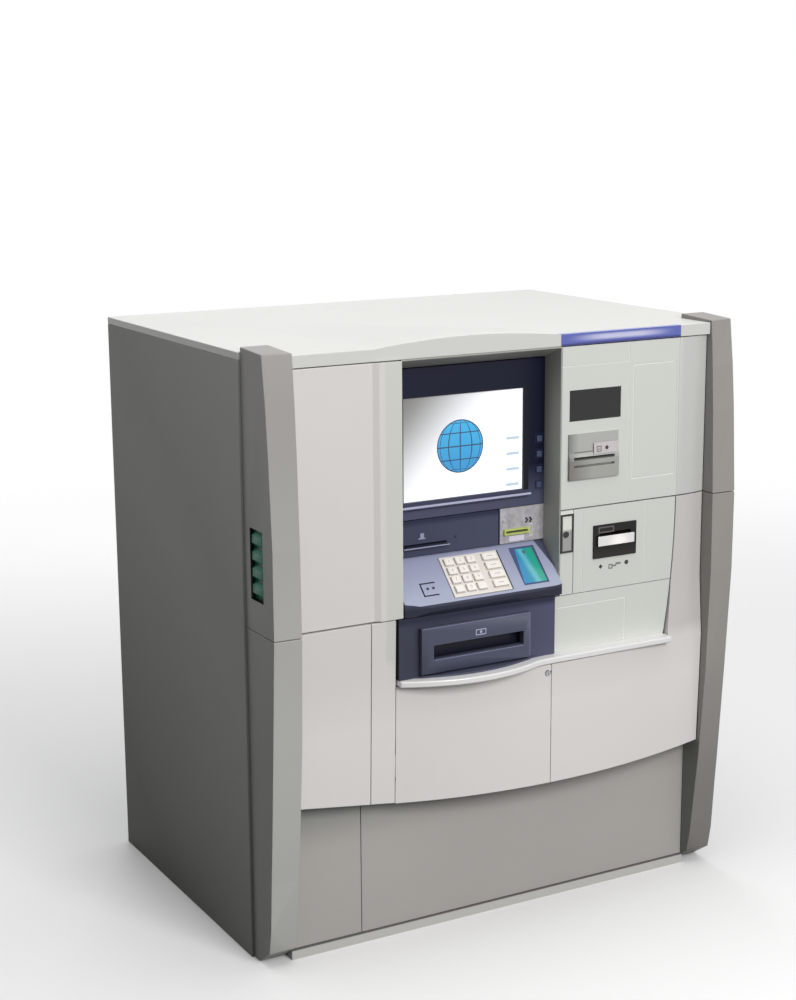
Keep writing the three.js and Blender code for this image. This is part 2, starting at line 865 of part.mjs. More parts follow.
const lampCut = box(
  -columnOuter - seam, -columnOuter + lampPocket, lampFront, lampBack, lampBottom, lampTop,
);
addPiece(
  'column_left_upper',
  cut(columnGeometry(-1, leftSeamHeight, columnTop), lampCut),
  columnColor, 0.5, 0.1,
);
addPiece('column_left_lower', columnGeometry(-1, 0, leftSeamHeight - seam), columnColor, 0.5, 0.1);
addPiece('column_right_upper', columnGeometry(1, rightSeamHeight, columnTop), columnColor, 0.5, 0.1);
addPiece('column_right_lower', columnGeometry(1, 0, rightSeamHeight - seam), columnColor, 0.5, 0.1);

// Status lamp: a base with four lenses
function lampGeometry() {
  const floor = -columnOuter + lampPocket - seat;
  const lensFront = lampFront + lampMargin;
  const lensBack = lampBack - lampMargin;
  const pitch = (lampTop - lampBottom - lampMargin * 2) / lampLobes;
  const lenses = [];
  for (let i = 0; i < lampLobes; i += 1) {
    const low = lampBottom + lampMargin + i * pitch + lampLobeGap / 2;
    const high = low + pitch - lampLobeGap;
    const quarter = (high - low) / 4;
    const edge = floor - lampBase;
    const crest = edge - lampLobeReach;
    const shoulder = edge - lampLobeReach / 2;
    const points = [
      [edge + lampBase / 2, low], [edge + lampBase / 2, high], [edge, high],
      [shoulder, high - quarter / 2], [crest, high - quarter], [crest, low + quarter],
      [shoulder, low + quarter / 2], [edge, low],
    ];
    const lens = prismZ(points, 0, lensBack - lensFront);
    lens.rotateX(Math.PI / 2);
    lens.translate(0, lensBack, 0);
    lenses.push(lens);
  }
  const base = box(
    floor - lampBase, floor, lampFront + seat, lampBack - seat, lampBottom + seat, lampTop - seat,
  );
  return join(base, ...lenses);
}
addPiece('status_lamp', lampGeometry(), '#0e6a55', 0.25, 0);

// Hinge knuckles: low bosses on a door's hinge edge that reach to the running gap
function knuckles(edge, side, gap, y0, y1, z0, z1) {
  const reach = edge + side * (gap - seat);
  const root = edge - side * gap;
  const left = Math.min(reach, root);
  const right = Math.max(reach, root);
  return [
    box(left, right, y0, y1, z0 + knuckleInset, z0 + knuckleInset + knuckleLength),
    box(left, right, y0, y1, z1 - knuckleInset - knuckleLength, z1 - knuckleInset),
  ];
}

// Upper left door with its raised band
const doorLeft = -columnInner + seam;
const doorPoints = [
  [doorLeft, panelFace],
  [doorBandLeft, panelFace],
  [doorBandLeft + doorBandSlope, panelFace - doorBandRise],
  [doorRight, panelFace - doorBandRise],
  [doorRight, panelFace + doorThick],
  [doorLeft, panelFace + doorThick],
];
const doorBottom = leftSeamHeight + seam;
addPiece(
  'upper_left_door',
  join(
    prismZ(doorPoints, doorBottom, panelTop),
    ...knuckles(
      doorLeft, -1, seam, panelFace + knuckleSetback, panelFace + doorThick - seam, doorBottom, panelTop,
    ),
  ),
  doorColor, 0.5, 0.1,
);

// Lower left panel, strip and the two lower doors
function fasciaFace(z) {
  return between(z, hemMiddle, lowerTop, fasciaBottomFace, fasciaTopFace);
}

function doorFace(x, z) {
  const share = (x - fasciaMiddle) / fasciaHalf;
  const bulge = between(z, hemMiddle, lowerDoorTop, bulgeBottom, bulgeTop);
  return fasciaFace(z) - bulge * Math.max(0, 1 - share * share);
}

function hemHeight(x) {
  if (x < stripRight) {
    return between(x, -columnInner, stripRight, hemLeftEnd, hemStrip);
  }
  const share = (x - fasciaMiddle) / fasciaHalf;
  return hemMiddle + hemRise * share * share;
}

addPiece(
  'lower_left_panel',
  sheet(
    [-columnInner + seam, stripLeft - seam],
    (x) => [hemHeight(x), lowerTop],
    (x, z) => fasciaFace(z),
    () => frameFace,
  ),
  doorColor, 0.5, 0.1,
);
addPiece(
  'lower_left_strip',
  sheet(
    [stripLeft, stripRight - seam],
    (x) => [hemHeight(x), lowerTop],
    (x, z) => fasciaFace(z),
    () => frameFace,
  ),
  doorColor, 0.5, 0.1,
);

function lowerDoor(from, to) {
  return sheet(
    steps(from, to, fasciaSteps),
    (x) => steps(hemHeight(x), lowerDoorTop, 2),
    doorFace,
    (x, z) => doorFace(x, z) + lowerThick,
  );
}

// The lower right door rises beside the right-hand panels as a wing up to their seam.
// On the way down its left edge leans out to the left, and its face comes forward to the door's.
function wingEdge(z) {
  const share = (rightSeamHeight - Math.max(z, ledgeTop)) / (rightSeamHeight - ledgeTop);
  return bandStart - wingLean * share * share;
}

function wingPlace(x, z) {
  return between(x, bandStart, bandEnd, wingEdge(z), bandEnd);
}

function wingFace(x, z) {
  if (z < lowerDoorTop) {
    return doorFace(wingPlace(x, z), z) + wingSink;
  }
  const foot = doorFace(wingPlace(x, z), lowerDoorTop);
  const share = (x - bandStart) / bandWidth;
  const upright = panelFace + bandDrop * share * share;
  return between(Math.min(z, midSeam), lowerDoorTop, midSeam, foot, upright);
}

const doorWing = sheet(
  steps(bandStart + seam, bandEnd, wingColumnSteps),
  () => [
    lowerDoorTop - wingLap,
    ...steps(lowerDoorTop, midSeam, edgeSteps),
    ...steps(midSeam, rightSeamHeight - seam, edgeSteps).slice(1),
  ],
  wingFace,
  (x, z) => Math.min(wingFace(x, z) + lowerThick, frameFace - seat),
);
const wingPoints = doorWing.getAttribute('position');
for (let i = 0; i < wingPoints.count; i += 1) {
  wingPoints.setX(i, wingPlace(wingPoints.getX(i), wingPoints.getZ(i)));
}

const lockFace = doorFace(keyLockX, keyLockHeight);
const hingeFaceLeft = doorFace(stripRight, lowerDoorTop);
const hingeFaceRight = doorFace(bandEnd, lowerDoorTop);
const hingeBottom = hemHeight(stripRight);
addPiece(
  'lower_door_left',
  cut(
    join(
      lowerDoor(stripRight, lowerSeamX - seam),
      ...knuckles(
        stripRight, -1, seam, hingeFaceLeft + lowerKnuckleSetback, hingeFaceLeft + lowerThick - seam,
        hingeBottom, lowerDoorTop,
      ),
    ),
    rod(
      keyLockRadius + seat, keyLockX, keyLockHeight,
      lockFace - lowerThick, lockFace + lockHoleDepth, roundSegments,
    ),
  ),
  doorColor, 0.5, 0.1,
);
addPiece(
  'lower_door_right',
  join(
    lowerDoor(lowerSeamX, bandEnd),
    doorWing,
    ...knuckles(
      bandEnd, 1, seam, hingeFaceRight + lowerKnuckleSetback, hingeFaceRight + lowerThick - seam,
      hingeBottom, lowerDoorTop,
    ),
  ),
  doorColor, 0.5, 0.1,
);
addPiece(
  'door_lock',
  cut(
    rod(
      keyLockRadius, keyLockX, keyLockHeight,
      lockFace - keyLockReach, lockFace + keyLockLength, roundSegments,
    ),
    box(
      keyLockX - keySlotWidth / 2, keyLockX + keySlotWidth / 2,
      lockFace - keyLockReach - seam, lockFace - keyLockReach + keySlotDepth,
      keyLockHeight - keySlotLength / 2, keyLockHeight + keySlotLength / 2,
    ),
  ),
  '#c4c5c6', 0.25, 0.9,
);

// Kick panels on the lip
addPiece(
  'kick_panel_left',
  box(-postEdge, stripLeft - seam / 2, kickFace, kickBack, trayHeight, kickTop),
  '#a3a09a', 0.55, 0.1,
);
addPiece(
  'kick_panel_right',
  box(stripLeft + seam / 2, postEdge, kickFace, kickBack, trayHeight, kickTop),
  '#a3a09a', 0.55, 0.1,
);

// Bay liner: two cheeks and the sloping soffit
const bayBack = bayFace + bezelThick;
const soffit = prismX(
  [
    [panelFace, headerBottom - seat],
    [panelFace, headerBottom - seat - linerThick],
    [bayFace, soffitBack],
    [bayBack, soffitBack],
    [bayBack, headerBottom - seat],
  ],
  bayLeft - linerThick,
  bayRight + linerThick - seat,
);
addPiece(
  'bay_liner',
  join(
    cut(soffit, box(
      bayLeft - linerThick - seam, doorRight + seam, panelFace - seam, frameFace, deckTop, headerBottom,
    )),
    box(bayLeft - linerThick, bayLeft, frameFace, bayBack, deckTop, headerBottom - seat),
    box(bayRight, bayRight + linerThick - seat, panelFace, bayBack, cashTop + seam, headerBottom - seat),
  ),
  '#c9cac8', 0.5, 0.1,
);

// Display bezel with the screen opening and the key openings
const bezelLeft = bayLeft + seat;
const bezelRight = bayRight - seat;
const keyOpen = sideKeySize / 2 + keyGap;
const bezelCuts = [
  box(screenLeft, screenRight, bayFace - seam, bayBack + seam, screenBottom, screenTop),
  box(
    screenLeft - screenLap, screenRight + screenLap, bayFace + screenInset, bayBack + seam,
    screenBottom - screenLap, screenTop + screenLap,
  ),
  ...sideKeyRows.map((z) => box(
    sideKeyX - keyOpen, sideKeyX + keyOpen, bayFace - seam, bayFace + sideKeyLength + keyGap,
    z - keyOpen, z + keyOpen,
  )),
];
const chin = prismX(
  [
    [bayFace + chinThick, chinTop - chinRoot],
    [bayFace + chinThick, chinTop],
    [bayFace - chinReach, chinTop],
    [bayFace - chinReach, chinTop - chinThick],
  ].reverse(),
  bezelLeft,
  screenRight + screenLap,
);
const bezel = cut(
  join(box(bezelLeft, bezelRight, bayFace, bayBack, bezelBottom, bezelTop), chin),
  ...bezelCuts,
);
addPiece('display_bezel', bezel, navyColor, 0.4, 0);

const glassFace = bayFace + screenInset + seat;
addPiece(
  'display_screen',
  join(
    box(
      screenLeft - screenLap + seat, screenRight + screenLap - seat, glassFace, bayBack,
      screenBottom - screenLap + seat, screenTop + screenLap - seat,
    ),
    box(
      screenLeft + monitorMargin, screenRight - monitorMargin, bayBack - seam, bayBack + monitorDepth,
      screenBottom + monitorMargin, screenTop - monitorMargin,
    ),
  ),
  '#e9ecf2', 0.1, 0,
);

sideKeyRows.forEach((z, index) => {
  const half = sideKeySize / 2;
  addPiece(
    `side_key_${index + 1}`,
    box(
      sideKeyX - half, sideKeyX + half, bayFace - sideKeyRise, bayFace - sideKeyRise + sideKeyLength,
      z - half, z + half,
    ),
    '#3a4068', 0.4, 0,
  );
});

// Receipt panel with its printer behind
addPiece(
  'receipt_panel',
  cut(
    join(
      box(bezelLeft, receiptRight, bayFace, bayBack, lowerBandBottom, lowerBandTop),
      box(
        receiptSlotLeft, receiptBodyRight, bayBack - seam, bayBack + receiptBodyDepth,
        lowerBandBottom, receiptBodyTop,
      ),
      box(
        receiptSlotLeft, receiptSlotRight, bayFace - receiptLipReach, bayFace + seam,
        receiptSlotBottom - receiptLipThick, receiptSlotBottom,
      ),
    ),
    box(
      receiptSlotLeft + receiptSlotMargin, receiptSlotRight - receiptSlotMargin,
      bayFace - receiptLipReach - seam,
      bayBack + receiptBodyDepth / 2, receiptSlotBottom, receiptSlotBottom + receiptSlotHeight,
    ),
  ),
  navyColor, 0.4, 0,
);

// Card reader with its slot bezel and the drive behind
addPiece(
  'card_reader',
  cut(
    join(
      box(receiptRight + seam, bezelRight, bayFace, bayBack, lowerBandBottom, lowerBandTop),
      box(
        cardSlotLeft - cardBezelMargin, cardSlotRight + cardBezelMargin, bayFace - cardBezelReach,
        bayFace + seam, cardSlotBottom - cardBezelMargin, cardSlotBottom + cardSlotHeight + cardBezelMargin,
      ),
      box(
        receiptRight + cardBezelMargin, cardBodyRight, bayBack - seam, bayBack + cardBodyDepth,
        lowerBandBottom, cardBodyTop,
      ),
    ),
    box(
      cardSlotLeft, cardSlotRight, bayFace - cardBezelReach - seam, bayFace + cardThroatDepth,
      cardSlotBottom, cardSlotBottom + cardSlotHeight,
    ),
  ),
  '#a5a2a8', 0.45, 0,
);

// Keyboard shelf: a 45 degree wedge with a rounded lip
const shelfLeft = doorRight + seam;
const shelfFront = shelfBack - shelfLength * slope;
const shelfPoints = [
  [shelfBack, shelfTop],
  [shelfFront, shelfFrontTop],
  [shelfFront - lipBulge, shelfFrontTop - lipStep],
  [shelfFront - lipBulge, shelfBottom + lipStep],
  [shelfFront, shelfBottom],
  [shelfRear, shelfBottom],
  [shelfRear, shelfTop],
];
const lipFace = shelfFront - lipBulge;
const shelfPlan = [
  [shelfLeft, shelfRear + seam],
  [shelfLeft, lipFace + shelfCornerSetback],
  [shelfLeft + shelfCornerLength / 2, lipFace + shelfCornerSetback / 3],
  [shelfLeft + shelfCornerLength, lipFace - seam],
  [bezelRight - shelfCornerLength, lipFace - seam],
  [bezelRight, lipFace + shelfCornerSetback / 2],
  [bezelRight, shelfRear + seam],
];
const shelfBlank = keepInside(
  prismX(shelfPoints, shelfLeft, bezelRight),
  prismZ(shelfPlan, shelfBottom - seam, shelfTop + seam),
);

// Places something drawn flat on the slope: x, distance down the slope, height over it
const slopeTurn = new THREE.Matrix4().makeRotationX(Math.PI / 4);
slopeTurn.setPosition(0, shelfBack, shelfTop);
function onSlope(geometry) {
  const placed = geometry.clone();
  placed.applyMatrix4(slopeTurn);
  return placed;
}

const plateHollow = [
  box(
    plateLeft - seat, plateRight + seat, -plateEnd - seat, -plateStart + seat,
    plateRise - plateThick - seat, plateRise,
  ),
  box(
    keyColumns[0] - keyWidth / 2 - keyWellMargin, wideKeyX + wideKeyWidth / 2 + keyWellMargin,
    -keyRows[keyRowCount - 1] - keyDepth / 2 - seam,
    -keyRows[0] + keyDepth / 2 + seam, -keyWellDepth, 0,
  ),
];
const jackCuts = [
  box(jackLeft, jackLeft + jackGroove, -jackEnd, -jackStart, -jackGrooveDepth, seam),
  box(jackLeft, jackRight, -jackStart - jackGroove, -jackStart, -jackGrooveDepth, seam),
  box(jackLeft, jackRight, -jackEnd, -jackEnd + jackGroove, -jackGrooveDepth, seam),
  ...jackHoles.map((x) => {
    const hole = new THREE.CylinderGeometry(jackHoleRadius, jackHoleRadius, jackHoleDepth, smallHoleSegments);
    hole.rotateX(Math.PI / 2);
    hole.translate(x, -jackHoleRow, -jackHoleDepth / 2 + seam);
    return hole;
  }),
];
const sketchCut = box(sketchLeft, sketchRight, -sketchEnd, -sketchStart, -sketchDepth, seam);
addPiece(
  'keyboard_shelf',
  cut(shelfBlank, ...[...plateHollow, ...jackCuts, sketchCut].map(onSlope)),
  shelfColor, 0.4, 0,
);

// Keypad plate and keys, drawn flat in a group turned onto the slope
const keypad = new THREE.Group();
keypad.name = 'keypad_place';
keypad.position.set(0, shelfBack, shelfTop);
keypad.rotation.x = Math.PI / 4;
body.add(keypad);

const keyPlaces = [];
keyRows.forEach((row) => {
  keyColumns.forEach((x) => keyPlaces.push([x, row, keyWidth]));
});
const widePlaces = keyRows.map((row) => [wideKeyX, row, wideKeyWidth]);

const plateHoles = [...keyPlaces, ...widePlaces].map(([x, row, width]) => box(
  x - width / 2 - keyGap, x + width / 2 + keyGap, -row - keyDepth / 2 - keyGap, -row + keyDepth / 2 + keyGap,
  plateRise - plateThick - seam, plateRise + seam,
));
addPiece(
  'keypad_plate',
  cut(
    box(plateLeft, plateRight, -plateEnd, -plateStart, plateRise - plateThick, plateRise),
    ...plateHoles,
  ),
  '#d9d6cf', 0.35, 0.6, keypad,
);

function keyGeometry(width, depth) {
  const w = width / 2;
  const d = depth / 2;
  const r = keyCorner;
  const shape = new THREE.Shape();
  shape.moveTo(-w + r, -d);
  shape.lineTo(w - r, -d);
  shape.absarc(w - r, -d + r, r, -Math.PI / 2, 0, false);
  shape.absarc(w - r, d - r, r, 0, Math.PI / 2, false);
  shape.absarc(-w + r, d - r, r, Math.PI / 2, Math.PI, false);
  shape.absarc(-w + r, -d + r, r, Math.PI, Math.PI * 1.5, false);
  const geometry = new THREE.ExtrudeGeometry(shape, {
    depth: keyLength - keyBevel * 2,
    bevelEnabled: true,
    bevelSize: keyBevel,
    bevelOffset: -keyBevel,
    bevelThickness: keyBevel,
    bevelSegments: 1,
    curveSegments: 2,
  });
  geometry.translate(0, 0, plateRise + keyRise - keyLength + keyBevel);
  return geometry;
}

function addKey(name, [x, row, width]) {
  const key = addPiece(name, toGeometry(toSolid(keyGeometry(width, keyDepth))), keyColor, 0.4, 0, keypad);
  key.position.set(x, -row, 0);
}
keyPlaces.forEach((place, index) => addKey(`number_key_${index + 1}`, place));
widePlaces.forEach((place, index) => addKey(`wide_key_${index + 1}`, place));

// Cash dispenser fascia with the shutter channel and the curved tray
function ledgeFront(x) {
  const share = (x - ledgeBowCentre) / ledgeBowHalf;
  const bow = ledgeShoulder - ledgeBow * Math.max(0, 1 - share * share);
  return x > ledgeBowCentre ? Math.min(bow, ledgeFace) : bow;
}

function ledgeColumns(from, to) {
  return [
    ...steps(from, ledgeBowCentre, ledgeHalfSteps),
    ...steps(ledgeBowCentre, to, ledgeHalfSteps).slice(1),
  ];
}

function curvedPlate(from, to, setback, back, z0, z1) {
  const edge = ledgeColumns(from, to).map((x) => [x, ledgeFront(x) + setback]);
  return prismZ([...edge, [to, back], [from, back]], z0, z1);
}

const shutterFront = cashFace + shutterSetback;
const channelBack = shutterFront + shutterThick + seat * 2;
const cashFascia = cut(
  join(
    box(bezelLeft, cashRight, cashFace, frameFace, ledgeTop, cashTop),
    curvedPlate(bezelLeft, cashRight, traySetback, frameFace, ledgeTop, ledgeTop + trayThick),
    box(
      cashFrameLeft, cashFrameRight, cashFace - cashFrameReach, cashFace + seam,
      cashFrameBottom, cashFrameTop,
    ),
  ),
  box(
    cashSlotLeft, cashSlotRight, cashFace - cashFrameReach - seam, frameFace + seam,
    cashSlotBottom, cashSlotTop,
  ),
  box(
    cashSlotLeft - shutterLap, cashSlotRight + shutterLap, shutterFront, channelBack,
    cashSlotBottom - seam, cashSlotTop + shutterLap + shutterTravel + seam,
  ),
);
addPiece('dispenser_fascia', cashFascia, '#2c3152', 0.4, 0);
addPiece(
  'dispenser_shutter',
  box(
    cashSlotLeft - shutterLap + seat, cashSlotRight + shutterLap - seat,
    shutterFront + seat, shutterFront + seat + shutterThick,
    cashSlotBottom - seam + seat, cashSlotTop + shutterLap,
  ),
  blackColor, 0.3, 0.2,
);

// Ledge below the dispenser and the right-hand panel
const ledgePoints = [
  ...ledgeColumns(bezelLeft, cashRight).map((x) => [x, ledgeFront(x)]),
  [ledgeRight, ledgeFace],
  [ledgeRight, frameFace],
  [bezelLeft, frameFace],
];
addPiece('parcel_ledge', prismZ(ledgePoints, ledgeBottom, ledgeTop), silverColor, 0.35, 0.2);

// The right-hand panel curves back at the outer edge
function rightPanel(from, z0, z1) {
  const curve = steps(0, 1, bandSteps).map((share) => [
    bandStart + (bandEnd - bandStart) * share,
    panelFace + bandDrop * share * share,
  ]);
  return prismZ([[from, panelFace], ...curve, [bandEnd, frameFace], [from, frameFace]], z0, z1);
}

// The lower right-hand panels keep a seam to the leaning edge of the door's wing
function leaningPanel(from, z0, z1) {
  const edge = steps(z0, z1, edgeSteps).map((z) => [wingEdge(z) - seam, z]);
  return prismY([[from, z0], ...edge, [from, z1]], panelFace, frameFace);
}

function frameGroove(x0, x1, z0, z1) {
  return cut(
    box(x0, x1, panelFace - seam, panelFace + reliefDepth, z0, z1),
    box(
      x0 + reliefGroove, x1 - reliefGroove, panelFace - seam * 2, panelFace + reliefDepth + seam,
      z0 + reliefGroove, z1 - reliefGroove,
    ),
  );
}

addPiece(
  'right_upper_panel',
  cut(
    rightPanel(rightLeftEdge, rightSeamHeight + seam, panelTop),
    frameGroove(reliefLeft, reliefRight, reliefBottom, reliefTop),
    ...[upperLineX, bandStart].map((x) => box(
      x, x + lineWidth, panelFace - seam, panelFace + reliefDepth, rightSeamHeight, panelTop + seam,
    )),
    box(
      rightLeftEdge - seam, upperLineX, panelFace - seam, panelFace + reliefDepth,
      upperLineHeight, upperLineHeight + lineWidth,
    ),
    box(windowLeft, windowRight, panelFace - seam, panelFace + windowDepth, windowBottom, windowTop),
    box(
      bookLeft + moduleStep - seat, bookRight - moduleStep + seat, panelFace - seam, frameFace + seam,
      bookBottom + moduleStep - seat, bookTop - moduleStep + seat,
    ),
  ),
  panelColor, 0.5, 0.1,
);

// Passbook module: stepped bezel, slot and the printer behind
addPiece(
  'passbook_module',
  cut(
    join(
      prismX(
        [
          [panelFace - seat, bookBottom],
          [panelFace - seat, bookTop],
          [panelFace - bookReach / 2, bookTop],
          [panelFace - bookReach / 2, bookSlotBottom + bookSlotHeight + bookStepRise],
          [panelFace - bookReach, bookSlotBottom + bookSlotHeight],
          [panelFace - bookReach, bookBottom],
        ].reverse(),
        bookLeft,
        bookRight,
      ),
      box(
        bookLeft + moduleStep, bookRight - moduleStep, panelFace - seam, panelFace + bookBodyDepth,
        bookBottom + moduleStep, bookTop - moduleStep,
      ),
    ),
    box(
      bookLeft + bookSlotMargin, bookRight - bookSlotMargin,
      panelFace - bookReach - seam, panelFace + bookBodyDepth / 2,
      bookSlotBottom, bookSlotBottom + bookSlotHeight,
    ),
    box(
      bookLeft + bookSlotMargin, bookRight - bookSlotMargin,
      panelFace - bookReach - seam, panelFace - bookReach + bookGrooveDepth,
      bookGrooveBottom, bookGrooveBottom + bookGrooveHeight,
    ),
  ),
  '#9a9c9e', 0.45, 0.1,
);

// Middle right panel, deposit module and lock module
const midLeft = lockStripRight + seam;
addPiece(
  'right_middle_panel',
  cut(
    leaningPanel(midLeft, midSeam + seam, rightSeamHeight - seam),
    ...middleLines.map((x) => box(
      x, x + lineWidth, panelFace - seam, panelFace + reliefDepth, midSeam, rightSeamHeight,
    )),
    box(
      depositLeft + moduleStep - seat, depositRight - moduleStep + seat, panelFace - seam, frameFace + seam,
      depositBottom + moduleStep - seat, depositTop - moduleStep + seat,
    ),
  ),
  panelColor, 0.5, 0.1,
);
addPiece(
  'deposit_module',
  cut(
    join(
      box(depositLeft, depositRight, panelFace - depositReach, panelFace - seat, depositBottom, depositTop),
      box(
        depositLeft + moduleStep, depositRight - moduleStep, panelFace - seam, panelFace + depositBodyDepth,
        depositBottom + moduleStep, depositTop - moduleStep,
      ),
      box(
        depositLeft + depositBandMargin, depositRight - depositBandMargin,
        panelFace - depositBandReach, panelFace - seam, depositBandBottom, depositBandTop,
      ),
    ),
    box(
      depositLeft + depositSlotMargin, depositRight - depositSlotMargin,
      panelFace - depositBandReach - seam, panelFace + depositBodyDepth / 2,
      depositBandTop, depositBandTop + depositSlotHeight,
    ),
  ),
  '#2a2a2e', 0.4, 0.1,
);
addPiece(
  'lock_module',
  join(
    box(rightLeftEdge, lockStripRight, panelFace, frameFace, midSeam + seam, rightSeamHeight - seam),
    cut(
      box(
        rightLeftEdge, lockStripRight, panelFace - lockFrameReach, panelFace + seam,
        lockFrameBottom, lockFrameTop,
      ),
      box(
        rightLeftEdge + lockFrameWidth, lockStripRight - lockFrameWidth,
        panelFace - lockFrameReach - seam, panelFace - seat,
        lockFrameBottom + lockFrameWidth, lockFrameTop - lockFrameWidth,
      ),
    ),
    rod(
      lockButtonRadius, lockButtonX, lockButtonHeight,
      panelFace - lockFrameReach, panelFace + seam, roundSegments,
    ),
  ),
  '#c9cac6', 0.45, 0.1,
);

addPiece(
  'right_lower_panel',
  cut(
    leaningPanel(cashRight + seam, ledgeTop, midSeam),
    box(
      lowerReliefLeft, lowerReliefRight, panelFace - seam, panelFace + reliefDepth,
      lowerReliefTop, lowerReliefTop + reliefGroove,
    ),
    box(
      lowerReliefRight, lowerReliefRight + reliefGroove, panelFace - seam, panelFace + reliefDepth,
      ledgeTop - seam, lowerReliefTop + reliefGroove,
    ),
  ),
  panelColor, 0.5, 0.1,
);

// Rear service door with louvres and a recessed pull
const louvreBottom = rearDoorTop - louvreDrop - louvrePitch * (louvreCount - 1);
const louvres = steps(0, louvreCount - 1, louvreCount - 1).map((i) => box(
  louvreLeft, louvreRight, rearFace - seam, cabinetDepth + seam,
  louvreBottom + i * louvrePitch, louvreBottom + i * louvrePitch + louvreHeight,
));
addPiece(
  'rear_service_door',
  cut(
    join(
      box(-rearDoorHalf, rearDoorHalf, rearFace, cabinetDepth, rearDoorBottom, rearDoorTop),
      ...knuckles(
        rearDoorHalf, 1, seam, rearFace + seam, cabinetDepth - knuckleSetback, rearDoorBottom, rearDoorTop,
      ),
    ),
    ...louvres,
    box(
      rearPullLeft, rearPullRight, cabinetDepth - rearPullDepth, cabinetDepth + seam,
      rearPullBottom, rearPullTop,
    ),
  ),
  '#8b8d8b', 0.55, 0.15,
);

// Safe body, open at the rear and pierced at the front for the notes
const safeInnerHalf = safeHalf - safeWall;
addPiece(
  'safe_body',
  cut(
    box(-safeHalf, safeHalf, safeFront, safeBack, trayHeight, safeTop),
    box(
      -safeInnerHalf, safeInnerHalf, safeFront + safeWall, safeBack + seam,
      trayHeight + safeWall, safeTop - safeWall,
    ),
    box(throatLeft, throatRight, safeFront - seam, safeFront + safeWall + seam, throatBottom, throatTop),
  ),
  '#55585c', 0.55, 0.4,
);

// Safe door with its dial, and the handle that turns on it
const safeDoorHalf = safeInnerHalf - safeDoorGap;
const safeDoorBottom = trayHeight + safeWall + safeDoorGap;
const safeDoorTop = safeTop - safeWall - safeDoorGap;
const handleHeight = (safeDoorBottom + safeDoorTop) / 2;
const handleX = handleInset - safeDoorHalf;
const dialX = safeDoorHalf - dialInset;
const dial = new THREE.CylinderGeometry(dialRadius, dialRadius, dialReach + seam, dialSegments);
dial.translate(dialX, safeBack + (dialReach - seam) / 2, handleHeight);
addPiece(
  'safe_door',
  join(
    box(
      -safeDoorHalf, safeDoorHalf, safeBack - safeDoorThick, safeBack, safeDoorBottom, safeDoorTop,
    ),
    ...knuckles(
      safeDoorHalf, 1, safeDoorGap, safeBack - safeDoorThick + seam, safeBack - knuckleSetback,
      safeDoorBottom, safeDoorTop,
    ),
    dial,
  ),
  '#606469', 0.5, 0.4,
);
addPiece(
  'safe_handle',
  join(
    rod(handleHub, handleX, handleHeight, safeBack + seat, safeBack + handleStem, roundSegments),
    box(
      handleX - handleBarLength / 2, handleX + handleBarLength / 2,
      safeBack + handleStem - seam, safeBack + handleReach,
      handleHeight - handleBarWidth / 2, handleHeight + handleBarWidth / 2,
    ),
  ),
  '#b9bbbd', 0.3, 0.9,
);

// Note dispenser: rack, presenter head and four cassettes on runners
const rackShelves = steps(0, cassetteCount - 1, cassetteCount - 1).map((i) => (
  safeFloor + rackPlate + i * cassettePitch
));
const rack = join(
  box(rackLeft, rackRight, rackFront, rackBack, safeFloor, safeFloor + rackPlate),
  box(rackLeft, rackLeft + rackPlate, rackFront, rackBack, safeFloor, presenterTop),
  box(rackRight - rackPlate, rackRight, rackFront, rackBack, safeFloor, presenterTop),
  box(rackLeft, rackRight, rackFront, rackBack, presenterBottom, presenterTop),
  box(presenterLeft, presenterRight, presenterFront, rackFront + seam, presenterBottom, presenterTop),
  ...rackShelves.slice(1).flatMap((z) => [
    box(
      rackLeft + rackPlate - seam, rackLeft + rackPlate + runnerWidth, cassetteFront, rackBack,
      z - runnerThick, z,
    ),
    box(
      rackRight - rackPlate - runnerWidth, rackRight - rackPlate + seam, cassetteFront, rackBack,
      z - runnerThick, z,
    ),
  ]),
);
const cassettes = rackShelves.map((z) => box(
  rackLeft + rackPlate + seam, rackRight - rackPlate - seam, cassetteFront, rackBack - seam,
  z - seam, z - seam + cassetteHeight,
));
addPiece('note_dispenser', join(rack, ...cassettes), '#7f858c', 0.45, 0.5);

// Computer standing on the deck behind the upper left door
const computerBays = steps(0, computerBayCount - 1, computerBayCount - 1).map((i) => {
  const bayTop = computerTop - computerBayMargin - i * (computerBayHeight + computerBayGap);
  return box(
    computerLeft + computerBayMargin, computerRight - computerBayMargin,
    computerFront - seam, computerFront + computerBayDepth,
    bayTop - computerBayHeight, bayTop,
  );
});
addPiece(
  'computer',
  cut(
    box(computerLeft, computerRight, computerFront, computerBack, deckTop, computerTop),
    ...computerBays,
  ),
  '#3a3c40', 0.5, 0.3,
);

// Centre the footprint between the bow of the ledge and the rear face
const frontReach = Math.min(...ledgePoints.map((point) => point[1]));
body.position.y = -(frontReach + cabinetDepth) / 2;

export default machine;
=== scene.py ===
"""Finish and small parts of a wide lobby cash machine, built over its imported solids.

Every length is in metres. X runs to the customer's right, Y to the rear and Z up.
"""
import json
import math

import bmesh
import bpy
from mathutils import Matrix, Vector


